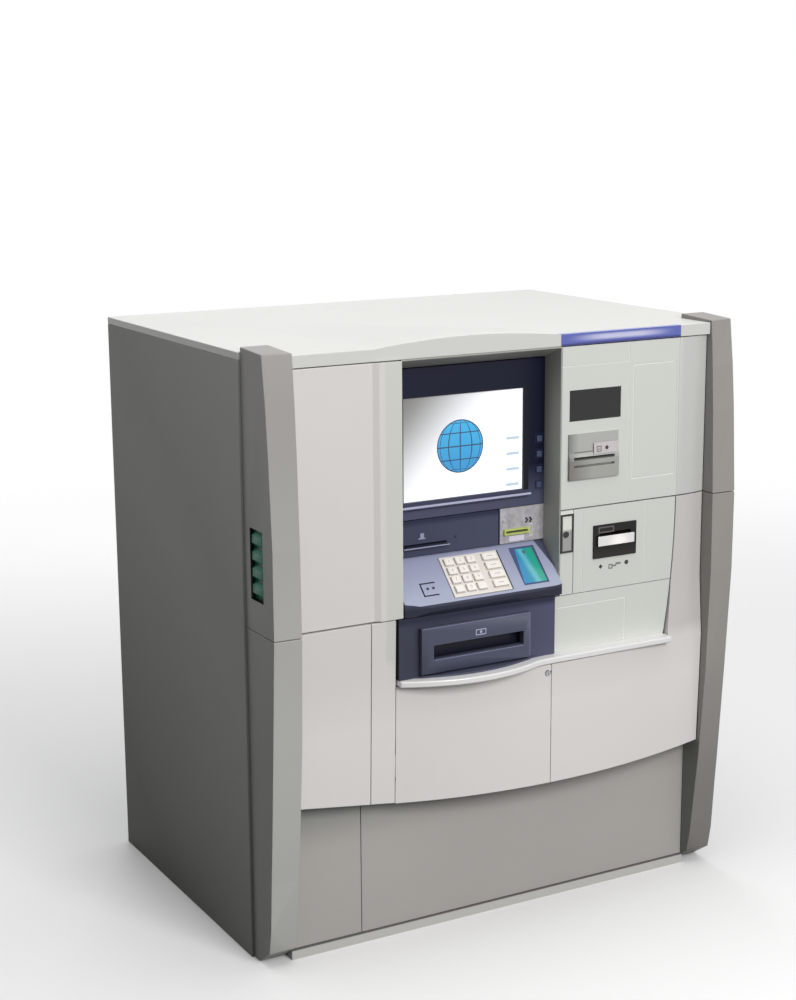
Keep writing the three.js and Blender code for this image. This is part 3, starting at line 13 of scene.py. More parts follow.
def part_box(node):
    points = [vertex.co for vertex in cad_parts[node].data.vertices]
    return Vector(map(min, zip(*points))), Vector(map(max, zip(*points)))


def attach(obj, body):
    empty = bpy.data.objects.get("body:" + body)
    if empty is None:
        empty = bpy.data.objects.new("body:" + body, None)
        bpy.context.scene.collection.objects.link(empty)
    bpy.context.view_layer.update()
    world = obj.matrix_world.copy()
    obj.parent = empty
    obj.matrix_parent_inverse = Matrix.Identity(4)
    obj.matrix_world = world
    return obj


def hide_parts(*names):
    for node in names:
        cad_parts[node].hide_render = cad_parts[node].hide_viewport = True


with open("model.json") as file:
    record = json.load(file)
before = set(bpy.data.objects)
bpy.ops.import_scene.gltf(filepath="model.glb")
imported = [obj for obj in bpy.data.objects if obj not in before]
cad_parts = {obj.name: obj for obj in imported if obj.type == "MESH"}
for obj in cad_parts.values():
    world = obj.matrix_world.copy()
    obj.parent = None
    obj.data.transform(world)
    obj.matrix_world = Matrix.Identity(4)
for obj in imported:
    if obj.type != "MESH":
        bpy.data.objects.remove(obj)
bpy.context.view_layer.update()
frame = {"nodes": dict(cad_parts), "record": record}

bl_info = {
    "name": "Lobby cash machine",
    "version": (1, 0, 0),
    "blender": (4, 5, 0),
    "location": "3D View > Sidebar > Cash machine",
    "description": "Dresses the solids of a lobby cash machine with finishes and small parts",
    "category": "Add Mesh",
}

MM = 0.001
BODY = "machine_body"

# Corners nearer than this are one, and a tint's edge this wide looks sharp
WELD = 0.01 * MM
HAIR = 0.01 * MM

# Front faces of the machine, on the Y axis
PANEL_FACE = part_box("right_middle_panel")[0][1]
BAY_FACE = PANEL_FACE + 61 * MM
CASH_FACE = PANEL_FACE - 11 * MM
SCREEN_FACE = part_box("display_screen")[0][1]

# The keyboard shelf slopes at 45 degrees: X stays, Y runs up the slope and Z stands out of it
HALF_TURN_SHARE = math.sqrt(0.5)
SHELF_TOP = Vector((0.0, BAY_FACE + 7 * MM, 0.84102))
SLOPE = Matrix((
    (1, 0, 0, 0),
    (0, HALF_TURN_SHARE, -HALF_TURN_SHARE, SHELF_TOP.y),
    (0, HALF_TURN_SHARE, HALF_TURN_SHARE, SHELF_TOP.z),
    (0, 0, 0, 1),
))

# Directions along which a finish can change
X, Y, Z = (1.0, 0.0, 0.0), (0.0, 1.0, 0.0), (0.0, 0.0, 1.0)

# Finishes: clouds are spread and pitch of the tone changes, grain is pitch and depth of the relief
SATIN = {"clouds": (0.012, 0.3), "grain": (6 * MM, 0.03 * MM), "coat": 0.12}
POWDER = {"clouds": (0.018, 0.22), "grain": (4 * MM, 0.05 * MM)}
MOULDED = {"grain": (1.5 * MM, 0.06 * MM), "specular": 0.2}


def linear(code):
    """Linear red, green, blue and alpha of an sRGB hex colour."""
    parts = [int(code[i:i + 2], 16) / 255 for i in (1, 3, 5)]
    return tuple(p / 12.92 if p <= 0.04045 else ((p + 0.055) / 1.055) ** 2.4 for p in parts) + (1.0,)


def length(name, description, default, low=0.0001, high=1.0):
    return bpy.props.FloatProperty(
        name=name, description=description, default=default, min=low, max=high, precision=4, unit="LENGTH",
    )


def colour(name, description, code):
    return bpy.props.FloatVectorProperty(
        name=name, description=description, default=linear(code), size=4, min=0.0, max=1.0, subtype="COLOR",
    )


class CashMachineSizes(bpy.types.PropertyGroup):
    """Sizes of the small parts that are added over the solids."""
    panel_edge: length("Panel edge", "Radius left on the edges of painted sheet", 1.4 * MM)
    plastic_edge: length("Plastic edge", "Radius on the edges of moulded parts", 0.9 * MM)
    fine_edge: length("Fine edge", "Radius on the edges of small parts", 0.4 * MM)
    plate_thick: length("Label thickness", "Thickness of labels and thin plates", 0.6 * MM)
    ink_thick: length("Print thickness", "Thickness of printed marks", 0.15 * MM)
    digit_height: length("Digit height", "Height of the digits on the number keys", 7.2 * MM)
    key_top: length("Key top", "Height of the key tops over the slope", 8 * MM)
    globe_radius: length("Globe radius", "Radius of the globe shown on the display", 57.5 * MM)
    floor_half: length("Floor half width", "Half the width of the studio floor", 9.0, 1.0, 30.0)


class CashMachineColours(bpy.types.PropertyGroup):
    """Colours of the paints, plastics and prints."""
    side: colour("Side paint", "Cabinet sides and back", "#8b8d88")
    top: colour("Top paint", "Top cover and header", "#d9dad5")
    column: colour("Column paint", "Front columns", "#9c9996")
    door: colour("Door paint", "Left door and lower doors", "#d3cfcc")
    panel: colour("Panel paint", "Right-hand panels", "#cdcfc9")
    ledge: colour("Ledge paint", "Parcel ledge", "#e2e1e0")
    kick: colour("Kick paint", "Kick panels", "#b2ada9")
    liner: colour("Liner paint", "Walls of the display bay", "#9f9f98")
    navy: colour("Navy plastic", "Display bezel and slot panels", "#4a4c62")
    # The bezel's dark navy is painted shade under the brow
    navy_dark: colour("Dark navy plastic", "Upper part of the bezel", "#070a22")
    navy_light: colour("Navy frame", "Frame round the note slot", "#4b4f61")
    shelf: colour("Shelf plastic", "Top of the keyboard shelf", "#a2a8bd")
    reader: colour("Reader paint", "Card reader panel", "#a5a2a6")
    card_bezel: colour("Card bezel", "Translucent bezel of the card slot", "#b4bf62")
    keypad: colour("Keypad metal", "Keypad plate", "#dcd6d0")
    key: colour("Key plastic", "Keys of the keypad", "#ebe6df")
    lens_blue: colour("Light bar blue", "Ends of the light bar", "#4f5aa6")
    # The light bar's pale centre is a painted highlight
    lens_pale: colour("Light bar centre", "Middle of the light bar", "#b8bad6")
    lamp: colour("Lamp green", "Status lamp lenses", "#0a604c")
    module: colour("Module plastic", "Passbook module", "#acada8")
    black: colour("Black plastic", "Deposit module and window", "#1d1b1c")
    silver: colour("Silver band", "Cover of the deposit band", "#dedcd9")
    card_blue: colour("Card blue", "Left side of the card print", "#1a84b8")
    card_green: colour("Card green", "Right side of the card print", "#1f9f85")
    screen_blue: colour("Screen blue", "Globe on the display", "#2a9fd0")


def sizes():
    return bpy.context.scene.cash_machine_sizes


def colours():
    return bpy.context.scene.cash_machine_colours


# Materials

COLOUR = {"data_type": "RGBA"}


def set_inputs(tree, node, inputs):
    """Links the inputs of a node, or gives them plain values."""
    for key, value in inputs.items():
        if isinstance(value, bpy.types.NodeSocket):
            tree.links.new(value, node.inputs[key])
        else:
            node.inputs[key].default_value = value


def add_node(tree, kind, settings=None, inputs=None):
    """Adds one shader node, sets its properties, and sets or links its inputs."""
    node = tree.nodes.new("ShaderNode" + kind)
    for key, value in (settings or {}).items():
        setattr(node, key, value)
    set_inputs(tree, node, inputs or {})
    return node


def as_colour(tint):
    """Hex codes turn linear; colours of the sidebar and sockets stay as they are."""
    if isinstance(tint, str):
        return linear(tint)
    return tint if isinstance(tint, bpy.types.NodeSocket) else tuple(tint)


def start_material(name, roughness, metallic=0.0, coat=0.0, specular=0.5):
    """A new material; returns it with its tree, its Principled shader and the object's own coordinates."""
    material = bpy.data.materials.new(name)
    material.use_nodes = True
    tree = material.node_tree
    tree.nodes.clear()
    shader = add_node(tree, "BsdfPrincipled", inputs={
        "Roughness": roughness, "Metallic": metallic, "Coat Weight": coat, "Specular IOR Level": specular,
    })
    add_node(tree, "OutputMaterial", inputs={"Surface": shader.outputs["BSDF"]})
    return material, tree, shader, add_node(tree, "TexCoord").outputs["Object"]


def add_grain(tree, shader, place, pitch, depth):
    """Fine relief of a given pitch in metres, as spray or a mould leaves it."""
    noise = add_node(tree, "TexNoise", inputs={
        "Vector": place, "Scale": 1.0 / pitch, "Detail": 2.0, "Roughness": 0.5,
    })
    bump = add_node(tree, "Bump", inputs={
        "Height": noise.outputs["Fac"], "Strength": 0.25, "Distance": depth,
    })
    set_inputs(tree, shader, {"Normal": bump.outputs["Normal"]})
    return noise.outputs["Fac"]


def add_clouds(tree, place, base, spread, pitch):
    """Soft, wide tone changes round a base colour, as light handling and dust leave them."""
    noise = add_node(tree, "TexNoise", inputs={
        "Vector": place, "Scale": 1.0 / pitch, "Detail": 3.0, "Roughness": 0.55,
    })
    tone = add_node(tree, "MapRange", inputs={
        "Value": noise.outputs["Fac"], "From Min": 0.3, "From Max": 0.7,
        "To Min": 1.0 - spread, "To Max": 1.0 + spread,
    })
    return add_node(tree, "VectorMath", {"operation": "SCALE"}, {
        0: as_colour(base)[:3], "Scale": tone.outputs["Result"],
    }).outputs["Vector"]


def add_limit(tree, place, way, start, end, centre=None):
    """0 at start and 1 at end along a direction; with a centre, eased over the distance from it."""
    value = add_node(tree, "VectorMath", {"operation": "DOT_PRODUCT"}, {0: place, 1: way}).outputs["Value"]
    if centre is not None:
        for operation in ("SUBTRACT", "ABSOLUTE"):
            value = add_node(tree, "Math", {"operation": operation}, {0: value, 1: centre}).outputs[0]
    ease = "LINEAR" if centre is None else "SMOOTHSTEP"
    return add_node(tree, "MapRange", {"interpolation_type": ease}, {
        "Value": value, "From Min": start, "From Max": end,
    }).outputs["Result"]


def add_zones(tree, place, shade, zones):
    """Lays tints over a colour in turn; a zone is a tint and its limits, or shares, multiplied into a mask."""
    for tint, *limits in zones:
        mask = 1.0
        for limit in limits:
            share = add_limit(tree, place, *limit) if isinstance(limit, tuple) else limit
            mask = add_node(tree, "Math", {"operation": "MULTIPLY"}, {0: mask, 1: share}).outputs[0]
        shade = add_node(tree, "Mix", COLOUR, {0: mask, 6: shade, 7: as_colour(tint)}).outputs[2]
    return shade


def surface(name, base, roughness, zones=(), clouds=None, grain=None, uneven=0.0, coat=0.0, specular=0.5):
    """A finish with clouds in its base colour, tinted zones, and a grain that can also vary its sheen."""
    material, tree, shader, place = start_material(name, roughness, coat=coat, specular=specular)
    shade = add_clouds(tree, place, base, *clouds) if clouds else as_colour(base)
    set_inputs(tree, shader, {"Base Color": add_zones(tree, place, shade, zones)})
    if grain:
        noise = add_grain(tree, shader, place, *grain)
    if uneven:
        vary_roughness(tree, shader, noise, roughness - uneven, roughness + uneven)
    return material


def vary_roughness(tree, shader, noise, low, high):
    rough = add_node(tree, "MapRange", inputs={"Value": noise, "To Min": low, "To Max": high})
    set_inputs(tree, shader, {"Roughness": rough.outputs["Result"]})


def powder_coated_steel(name, base):
    """Powder coat on folded sheet: satin, with orange peel about 2 mm wide, drawn at 4 mm so that it shows."""
    return surface(name, base, 0.55, uneven=0.06, **POWDER)


def satin_painted_steel(name, base, roughness):
    """Wet-sprayed satin paint: smoother than powder coat, a faint clear sheen and no visible grain."""
    return surface(name, base, roughness, **SATIN)


def spark_textured_abs(name, base, roughness=0.5):
    """Moulded ABS from a spark-eroded tool: an even fine grain of 0.6 mm, drawn at 1.5 mm so that it shows."""
    return surface(name, base, roughness, clouds=(0.03, 0.06), **MOULDED)


def printed_ink(name, base):
    """Screen-printed ink: flat and slightly uneven in density."""
    return surface(name, base, 0.6, clouds=(0.08, 3 * MM))


def gloss_acrylic(name, base, roughness=0.08):
    """Cast acrylic or glass over a dark backing: clear gloss with a trace of dust."""
    material, tree, shader, place = start_material(name, roughness)
    shade = add_clouds(tree, place, base, 0.1, 0.05)
    dust = add_node(tree, "TexNoise", inputs={"Vector": place, "Scale": 60.0, "Detail": 4.0})
    vary_roughness(tree, shader, dust.outputs["Fac"], roughness, roughness + 0.08)
    set_inputs(tree, shader, {"Base Color": shade})
    return material


def brushed_metal(name, base, roughness, metallic, stretch):
    """Metal brushed along X: fine scratches that draw the highlights out across the brushing."""
    material, tree, shader, place = start_material(name, roughness, metallic)
    lines = add_node(tree, "Mapping", inputs={"Vector": place, "Scale": (1.0 / stretch, 1.0, 1.0)})
    noise = add_node(tree, "TexNoise", inputs={
        "Vector": lines.outputs["Vector"], "Scale": 1500.0, "Detail": 3.0,
    }).outputs["Fac"]
    shade = add_node(tree, "MapRange", inputs={"Value": noise, "To Min": 0.9, "To Max": 1.08})
    tone = add_node(tree, "VectorMath", {"operation": "SCALE"}, {
        0: as_colour(base)[:3], "Scale": shade.outputs["Result"],
    })
    set_inputs(tree, shader, {"Base Color": tone.outputs["Vector"]})
    vary_roughness(tree, shader, noise, roughness - 0.1, roughness + 0.1)
    return material


# Meshes and pieces

def add_slab(bm, low, high):
    """A block between two corners."""
    low, high = Vector(low), Vector(high)
    grow = Matrix.Diagonal((*(high - low), 1.0))
    bmesh.ops.create_cube(bm, size=1.0, matrix=Matrix.Translation((low + high) / 2) @ grow)


def thicken(bm, step):
    """Gives flat faces a thickness, a step away from where they lie."""
    skin = bmesh.ops.extrude_face_region(bm, geom=bm.faces[:])
    moved = [v for v in skin["geom"] if isinstance(v, bmesh.types.BMVert)]
    bmesh.ops.translate(bm, verts=moved, vec=step)


def add_frame_plate(bm, outer, inner, front, back):
    """An upright plate with one rectangular window; outer and inner are left, right, bottom, top."""
    left, right, bottom, top = outer
    upright = Matrix.Rotation(math.pi / 2, 4, "X")
    verts = bmesh.ops.create_grid(bm, x_segments=1, y_segments=1, size=0.5, matrix=upright)["verts"]
    bmesh.ops.scale(bm, verts=verts, vec=(right - left, 1.0, top - bottom))
    bmesh.ops.translate(bm, verts=verts, vec=((left + right) / 2, front, (bottom + top) / 2))
    for place, normal in zip(inner, (X, X, Z, Z)):
        whole = bm.verts[:] + bm.edges[:] + bm.faces[:]
        bmesh.ops.bisect_plane(bm, geom=whole, plane_co=Vector(normal) * place, plane_no=normal)
    middle = [
        f for f in bm.faces
        if inner[0] < f.calc_center_median().x < inner[1] and inner[2] < f.calc_center_median().z < inner[3]
    ]
    bmesh.ops.delete(bm, geom=middle, context="FACES")
    thicken(bm, (0.0, back - front, 0.0))


def add_disc(bm, centre, radius, depth, segments=32, radius_front=None):
    """A round boss whose axis is Y; centre is the middle of its front face."""
    turn = Matrix.Rotation(math.pi / 2, 4, "X")
    place = Matrix.Translation(Vector(centre) + Vector((0.0, depth / 2, 0.0)))
    bmesh.ops.create_cone(
        bm, cap_ends=True, segments=segments, radius1=radius, radius2=radius_front or radius,
        depth=depth, matrix=place @ turn,
    )


def make_piece(name, bm, material, body=BODY, edge=0.0, matrix=None):
    """Turns a bmesh into a finished piece on a body."""
    if matrix is not None:
        bmesh.ops.transform(bm, matrix=matrix, verts=bm.verts)
    bmesh.ops.recalc_face_normals(bm, faces=bm.faces)
    mesh = bpy.data.meshes.new(name)
    bm.to_mesh(mesh)
    bm.free()
    return place_piece(name, mesh, material, body, edge)


def round_edges(item, width, angle):
    bevel = item.modifiers.new("Rounded edges", "BEVEL")
    bevel.width = width
    bevel.segments = 2
    bevel.limit_method = "ANGLE"
    bevel.angle_limit = math.radians(angle)
    bevel.use_clamp_overlap = False
    return bevel


def place_piece(name, mesh, material, body, edge):
    mesh.materials.clear()
    mesh.materials.append(material)
    mesh.shade_smooth()
    mesh.set_sharp_from_angle(angle=math.radians(30))
    piece = bpy.data.objects.new(name, mesh)
    bpy.context.scene.collection.objects.link(piece)
    if edge:
        round_edges(piece, edge, 35).harden_normals = True
    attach(piece, body)
    return piece


def record_slot(node):
    return next(part["material_slot"] for part in frame["record"]["subparts"] if part["node"] == node)


def body_of(node):
    bodies = frame["record"]["behaviour"]["bodies"]
    return next(name for name, nodes in bodies.items() if node in nodes)


def dress(node, material, edge=0.0):
    """Gives a flat-sided solid its finish, and rounds its edges."""
    solid = frame["nodes"][node]
    for slot in solid.material_slots:
        slot.material = material
    if edge:
        weld = solid.modifiers.new("Joined triangles", "WELD")
        weld.merge_threshold = WELD
        round_edges(solid, edge, 40)


def merged_copy(node):
    """A copy of a solid's mesh whose triangles share their corners."""
    bm = bmesh.new()
    bm.from_mesh(frame["nodes"][node].data)
    bmesh.ops.remove_doubles(bm, verts=bm.verts, dist=WELD)
    return bm


def finish_copy(bm, node, material, edge):
    """Turns a merged copy into the piece that stands in for its solid, with rounded edges."""
    bmesh.ops.dissolve_limit(
        bm, angle_limit=math.radians(0.6), verts=bm.verts, edges=bm.edges, use_dissolve_boundaries=False,
    )
    mesh = bpy.data.meshes.new(node + "_skin")
    bm.to_mesh(mesh)
    bm.free()
    piece = place_piece(node + "_skin", mesh, material, body_of(node), edge)
    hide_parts(node)


def smooth_copy(node, material, edge):
    finish_copy(merged_copy(node), node, material, edge)


def add_piece(name, material, node, *shapes, edge=0.0, body=BODY, matrix=None):
    """Makes a piece of shapes, each a function and its sizes, in the given material; node, the solid it lies
    on, is not used.
    """
    bm = bmesh.new()
    for shape, *values in shapes:
        shape(bm, *values)
    make_piece(name, bm, material, body, edge, matrix)


# Operators

class CASHMACHINE_OT_carcass(bpy.types.Operator):
    """Finishes the cabinet: frame, sides, top, columns, kick panels and rear door"""
    bl_idname = "cash_machine.carcass"
    bl_label = "Cabinet"

    def execute(self, context):
        size, tone = sizes(), colours()
        # Powder coat on the sides and back, with painted light high up at the front and painted shade toward
        # the floor
        slant = (0.0, -0.8, 1.0)
        side = surface("powder_coated_side_sheet", tone.side, 0.5, (
            ("#a9aba5", (slant, 0.95, 1.5)), ("#4b4d48", (slant, 0.75, -0.1)),
        ), specular=0.2, **POWDER)
        # Powder coat with a painted shadow under the overhang, darker toward its top
        kick = surface("powder_coated_kick_sheet", tone.kick, 0.5, (
            ("#7d827c", (Z, 0.22, 0.36, 0.0)),
        ), **POWDER)
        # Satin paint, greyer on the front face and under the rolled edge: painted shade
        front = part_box("top_cover")[0][1]
        header = surface("satin_painted_top_cover", tone.top, 0.42, (
            ("#cbcbc7", (Y, front + 1.2 * MM, front + 0.6 * MM)), ("#cbcbc7", (Z, 1.2992, 1.2984)),
        ), **SATIN)
        dress("carcass_frame", self.frame())
        for node in ("side_panel_left", "side_panel_right", "rear_service_door"):
            dress(node, side, size.panel_edge)
        for node in ("kick_panel_left", "kick_panel_right"):
            dress(node, kick, size.panel_edge)
        smooth_copy("top_cover", header, size.panel_edge)
        # The right column is a darker copy of the left's paint, painted shade; low down the left is painted
        # lighter and the right darker, painted light and shade
        for hand, *paints in (
            ("left", (1.2, 0.45), tone.column, "#b9b9b4", "#a2a19d"),
            ("right", (0.55, 0.2), "#97938f", "#85827e", "#8f8c88"),
        ):
            paint = self.column(hand, *paints)
            for part in ("upper", "lower"):
                smooth_copy(f"column_{hand}_{part}", paint, size.panel_edge)
        return {"FINISHED"}

    def column(self, hand, painted_light_span, head, foot, flank):
        """Satin paint that changes from head to foot and darkens on the flanks, painted light and shade, and
        is black in the lamp's recess.
        """
        down = (Z, *painted_light_span)
        low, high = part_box(f"column_{hand}_upper")
        zones = [(foot, down)]
        for edge, step in ((low.x + 0.5 * MM, -HAIR), (high.x - 0.5 * MM, HAIR)):
            zones += [(flank, (X, edge, edge + step)), ("#7a7c76", (X, edge, edge + step), down)]
        low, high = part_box("status_lamp")
        recess = [(X, high.x + 9 * MM, high.x + 8 * MM)]
        near, far = 0.6 * MM, 0.9 * MM
        for way, start, end in ((Y, low.y, high.y), (Z, low.z, high.z)):
            recess += [(way, start - far, start - near), (way, end + far, end + near)]
        zones.append(("#0d0f0f", *recess))
        return surface(f"satin_painted_{hand}_column", head, 0.4, zones, grain=SATIN["grain"], specular=0.2)

    def frame(self):
        """Hot-dip zinc in grey crystals about 8 mm wide; the lip in front of the kick panels is painted."""
        material, tree, shader, place = start_material("galvanised_folded_frame", 0.45)
        cells = add_node(tree, "TexVoronoi", inputs={"Vector": place, "Scale": 1.0 / (8 * MM)})
        tone = add_node(tree, "MapRange", inputs={
            "Value": cells.outputs["Distance"], "To Min": 0.85, "To Max": 1.1,
        })
        zinc = add_node(tree, "VectorMath", {"operation": "SCALE"}, {
            0: linear("#8d9196")[:3], "Scale": tone.outputs["Result"],
        }).outputs["Vector"]
        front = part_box("kick_panel_right")[0][1]
        bare = add_limit(tree, place, Y, front - 1 * MM, front + 1 * MM)
        shine = add_node(tree, "Math", {"operation": "MULTIPLY"}, {0: bare, 1: 0.9})
        # The lip is pale, and dark in its upper corner, a painted shadow where the kick panel meets it
        lip = add_zones(tree, place, linear("#c9c8c3"), (("#5c5a58", (Z, 19 * MM, 21 * MM)),))
        paint = add_zones(tree, place, lip, ((zinc, bare),))
        set_inputs(tree, shader, {"Metallic": shine.outputs[0], "Base Color": paint})
        return material


class CASHMACHINE_OT_doors(bpy.types.Operator):
    """Finishes the left door, the lower panel, the lower doors and their lock"""
    bl_idname = "cash_machine.doors"
    bl_label = "Doors and lower panels"

    def execute(self, context):
        size, tone = sizes(), colours()
        # Satin paint, paler on the lower doors, painted light, greener on the upper door's folded stile and
        # greyer on the wing, painted shade
        low = (Z, 0.7, 0.5)
        paint = surface("satin_painted_doors", tone.door, 0.4, (
            ("#dfdcd9", low, low),
            ("#c8c9c2", (Z, 0.63, 0.65), (X, -0.314, -0.311), (X, 0.1, 0.0)),
            ("#c3bfbc", (Z, 0.59, 0.62), (X, 0.0, 0.1)),
        ), **SATIN)
        for node in ("upper_left_door", "lower_left_panel", "lower_left_strip"):
            dress(node, paint, size.panel_edge)
        smooth_copy("lower_door_left", paint, size.panel_edge)
        # The wing and the leaf of the right door are one sheet: the corners where they meet become one
        bm = merged_copy("lower_door_right")
        leaf, wing_left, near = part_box("lower_door_left")[1], 0.405, 1.2 * MM
        join = [v for v in bm.verts if abs(v.co.z - leaf.z) < near and v.co.x > wing_left]
        bmesh.ops.remove_doubles(bm, verts=join, dist=2.2 * MM)
        finish_copy(bm, "lower_door_right", paint, size.panel_edge)
        dress("door_lock", brushed_metal("chromed_lock_barrel", "#a6a8ac", 0.3, 1.0, 4.0))
        low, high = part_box("door_lock")
        middle, face = (low.z + high.z) / 2, low.y + 2.2 * MM
        add_piece(
            "lock_keyhole_cover", printed_ink("dark_keyhole_cover", "#2b2a2b"), "door_lock",
            (add_slab, (leaf.x - 2.9 * MM, face, middle - 2.4 * MM),
             (leaf.x - 0.3 * MM, face + 1.6 * MM, middle + 4.4 * MM)),
            body="lower_door_left", edge=size.fine_edge / 2,
        )
        return {"FINISHED"}


class CASHMACHINE_OT_light_bar(bpy.types.Operator):
    """Gives the light bar its lit acrylic diffuser"""
    bl_idname = "cash_machine.light_bar"
    bl_label = "Light bar"

    def execute(self, context):
        tone = colours()
        low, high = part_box("light_bar")
        middle, half = (low.x + high.x) / 2, (high.x - low.x) / 2
        # Opal acrylic glowing faintly: a pale streak in its middle, a painted highlight, and deep blue at the
        # ends and edges
        material, tree, shader, place = start_material("opal_acrylic_light_bar", 0.2, coat=0.3)
        painted_streak = ((X, half * 0.95, half * 0.25, middle), (Z, 9 * MM, 2 * MM, low.z + 15 * MM))
        lens = add_zones(tree, place, tuple(tone.lens_blue), (
            (tone.lens_pale, *painted_streak), ("#2c3470", (Z, low.z + 6 * MM, low.z + 3 * MM)),
        ))
        set_inputs(tree, shader, {"Base Color": lens, "Emission Color": lens, "Emission Strength": 0.12})
        add_grain(tree, shader, place, 12 * MM, 0.05 * MM)
        dress("light_bar", material, sizes().plastic_edge)
        return {"FINISHED"}


class CASHMACHINE_OT_display(bpy.types.Operator):
    """Finishes the bezel, the display with its plain globe picture, and the keys beside it"""
    bl_idname = "cash_machine.display"
    bl_label = "Display"

    def execute(self, context):
        size, tone = sizes(), colours()
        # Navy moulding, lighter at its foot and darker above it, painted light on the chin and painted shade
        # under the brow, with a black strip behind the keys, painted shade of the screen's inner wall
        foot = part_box("display_bezel")[0].z
        bezel = surface("moulded_navy_bezel", tone.navy, 0.42, (
            (tone.navy_dark, (Z, foot + 12 * MM, foot + 90 * MM)),
            ("#0c0e18", (X, 0.0655, 0.0662), (X, 0.0782, 0.0775), (Z, 0.957, 0.959), (Z, 1.185, 1.183)),
        ), **MOULDED)
        dress("display_bezel", bezel, size.plastic_edge)
        bm = bmesh.new()
        add_slab(bm, (-0.233, SCREEN_FACE - 1.2 * MM, 0.9602), (0.065, SCREEN_FACE - 0.05 * MM, 1.1818))
        make_piece("display_glass", bm, self.picture(tone, size), edge=size.fine_edge)
        dress("display_screen", gloss_acrylic("dark_display_back", "#20242c", 0.2))
        chin = BAY_FACE - 9 * MM
        # A lavender strip along the chin's edge: a painted highlight
        add_piece(
            "display_ledge_painted_highlight", spark_textured_abs("lavender_painted_highlight", "#b4b6d0", 0.4), "display_bezel",
            (add_slab, (-0.245, chin - 0.7 * MM, 0.9486), (0.079, chin - 0.02 * MM, 0.9532)),
            edge=size.fine_edge / 2,
        )
        frame_plastic = spark_textured_abs("moulded_key_frames", "#2b3150", 0.4)
        key = spark_textured_abs("moulded_side_keys", "#414964", 0.4)
        for number in range(1, 5):
            dress(f"side_key_{number}", key, size.plastic_edge)
            # A thin moulded frame round each key
            low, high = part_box(f"side_key_{number}")
            inner, outer = (
                (low.x - gap, high.x + gap, low.z - gap, high.z + gap) for gap in (2.4 * MM, 3.4 * MM)
            )
            add_piece(
                f"side_key_frame_{number}", frame_plastic, "display_bezel",
                (add_frame_plate, outer, inner, BAY_FACE - size.plate_thick, BAY_FACE - 0.02 * MM),
                edge=0.2 * MM,
            )
        return {"FINISHED"}

    def picture(self, tone, size):
        """Display glass: a blue globe with its grid on a pale ground, and four plain bars beside the keys."""
        material, tree, shader, place = start_material("lit_display_glass", 0.12, coat=0.5)
        split = add_node(tree, "SeparateXYZ", inputs={0: place})

        def grid_rows(name, source, width):
            """A line every 30 degrees of the arc whose sine is the source."""
            return (
                (name + " low", "MAXIMUM", source, -1.0),
                (name + " sine", "MINIMUM", name + " low", 1.0),
                (name + " turn", "ARCSINE", name + " sine", 0.0),
                (name + " turns", "MULTIPLY", name + " turn", 6.0),
                (name + " wave", "SINE", name + " turns", 0.0),
                (name + " size", "ABSOLUTE", name + " wave", 0.0),
                (name, "LESS_THAN", name + " size", width),
            )

        # Each row names a value and says how it is made from the values before it
        values = {"X": split.outputs["X"], "Z": split.outputs["Z"]}
        for name, operation, first, second in (
            ("across", "SUBTRACT", "X", -0.092),
            ("x", "DIVIDE", "across", size.globe_radius),
            ("along", "SUBTRACT", "Z", 1.069),
            ("z", "DIVIDE", "along", size.globe_radius),
            ("xx", "MULTIPLY", "x", "x"),
            ("zz", "MULTIPLY", "z", "z"),
            ("square", "ADD", "xx", "zz"),
            ("inside", "LESS_THAN", "square", 1.0),
            ("rim", "GREATER_THAN", "square", 0.92),
            ("room", "SUBTRACT", 1.0, "zz"),
            ("kept room", "MAXIMUM", "room", 0.0001),
            ("belt", "SQRT", "kept room", 0.0),
            ("share", "DIVIDE", "x", "belt"),
            *grid_rows("meridian", "share", 0.16),
            *grid_rows("parallel", "z", 0.14),
            ("lines", "MAXIMUM", "meridian", "parallel"),
            ("grid", "MAXIMUM", "lines", "rim"),
            ("over keys", "SUBTRACT", "Z", 0.966 + 6.5 * MM),
            ("row", "PINGPONG", "over keys", 0.017),
            ("bars", "LESS_THAN", "row", 0.003),
        ):
            node = add_node(tree, "Math", {"operation": operation}, {
                0: values.get(first, first), 1: values.get(second, second),
            })
            values[name] = node.outputs[0]
        # The globe is deeper blue at its foot, the ground grey at the upper left and white at the lower right
        globe = add_zones(tree, place, linear("#1d86bd"), (
            (tone.screen_blue, (Z, 1.03, 1.115)), ("#123a5c", values["grid"]),
        ))
        shown = add_zones(tree, place, linear("#6f6e6b"), (
            ("#f4f6fa", ((0.72, 0.0, -0.69), 0.0, 0.21, -0.985)),
            ("#a9bccb", values["bars"], (X, 0.024, 0.024 + HAIR), (X, 0.056, 0.056 - HAIR),
             (Z, 0.964, 0.964 + HAIR), (Z, 1.085, 1.085 - HAIR)),
            (globe, values["inside"]),
        ))
        set_inputs(tree, shader, {"Base Color": shown, "Emission Color": shown, "Emission Strength": 0.4})
        return material


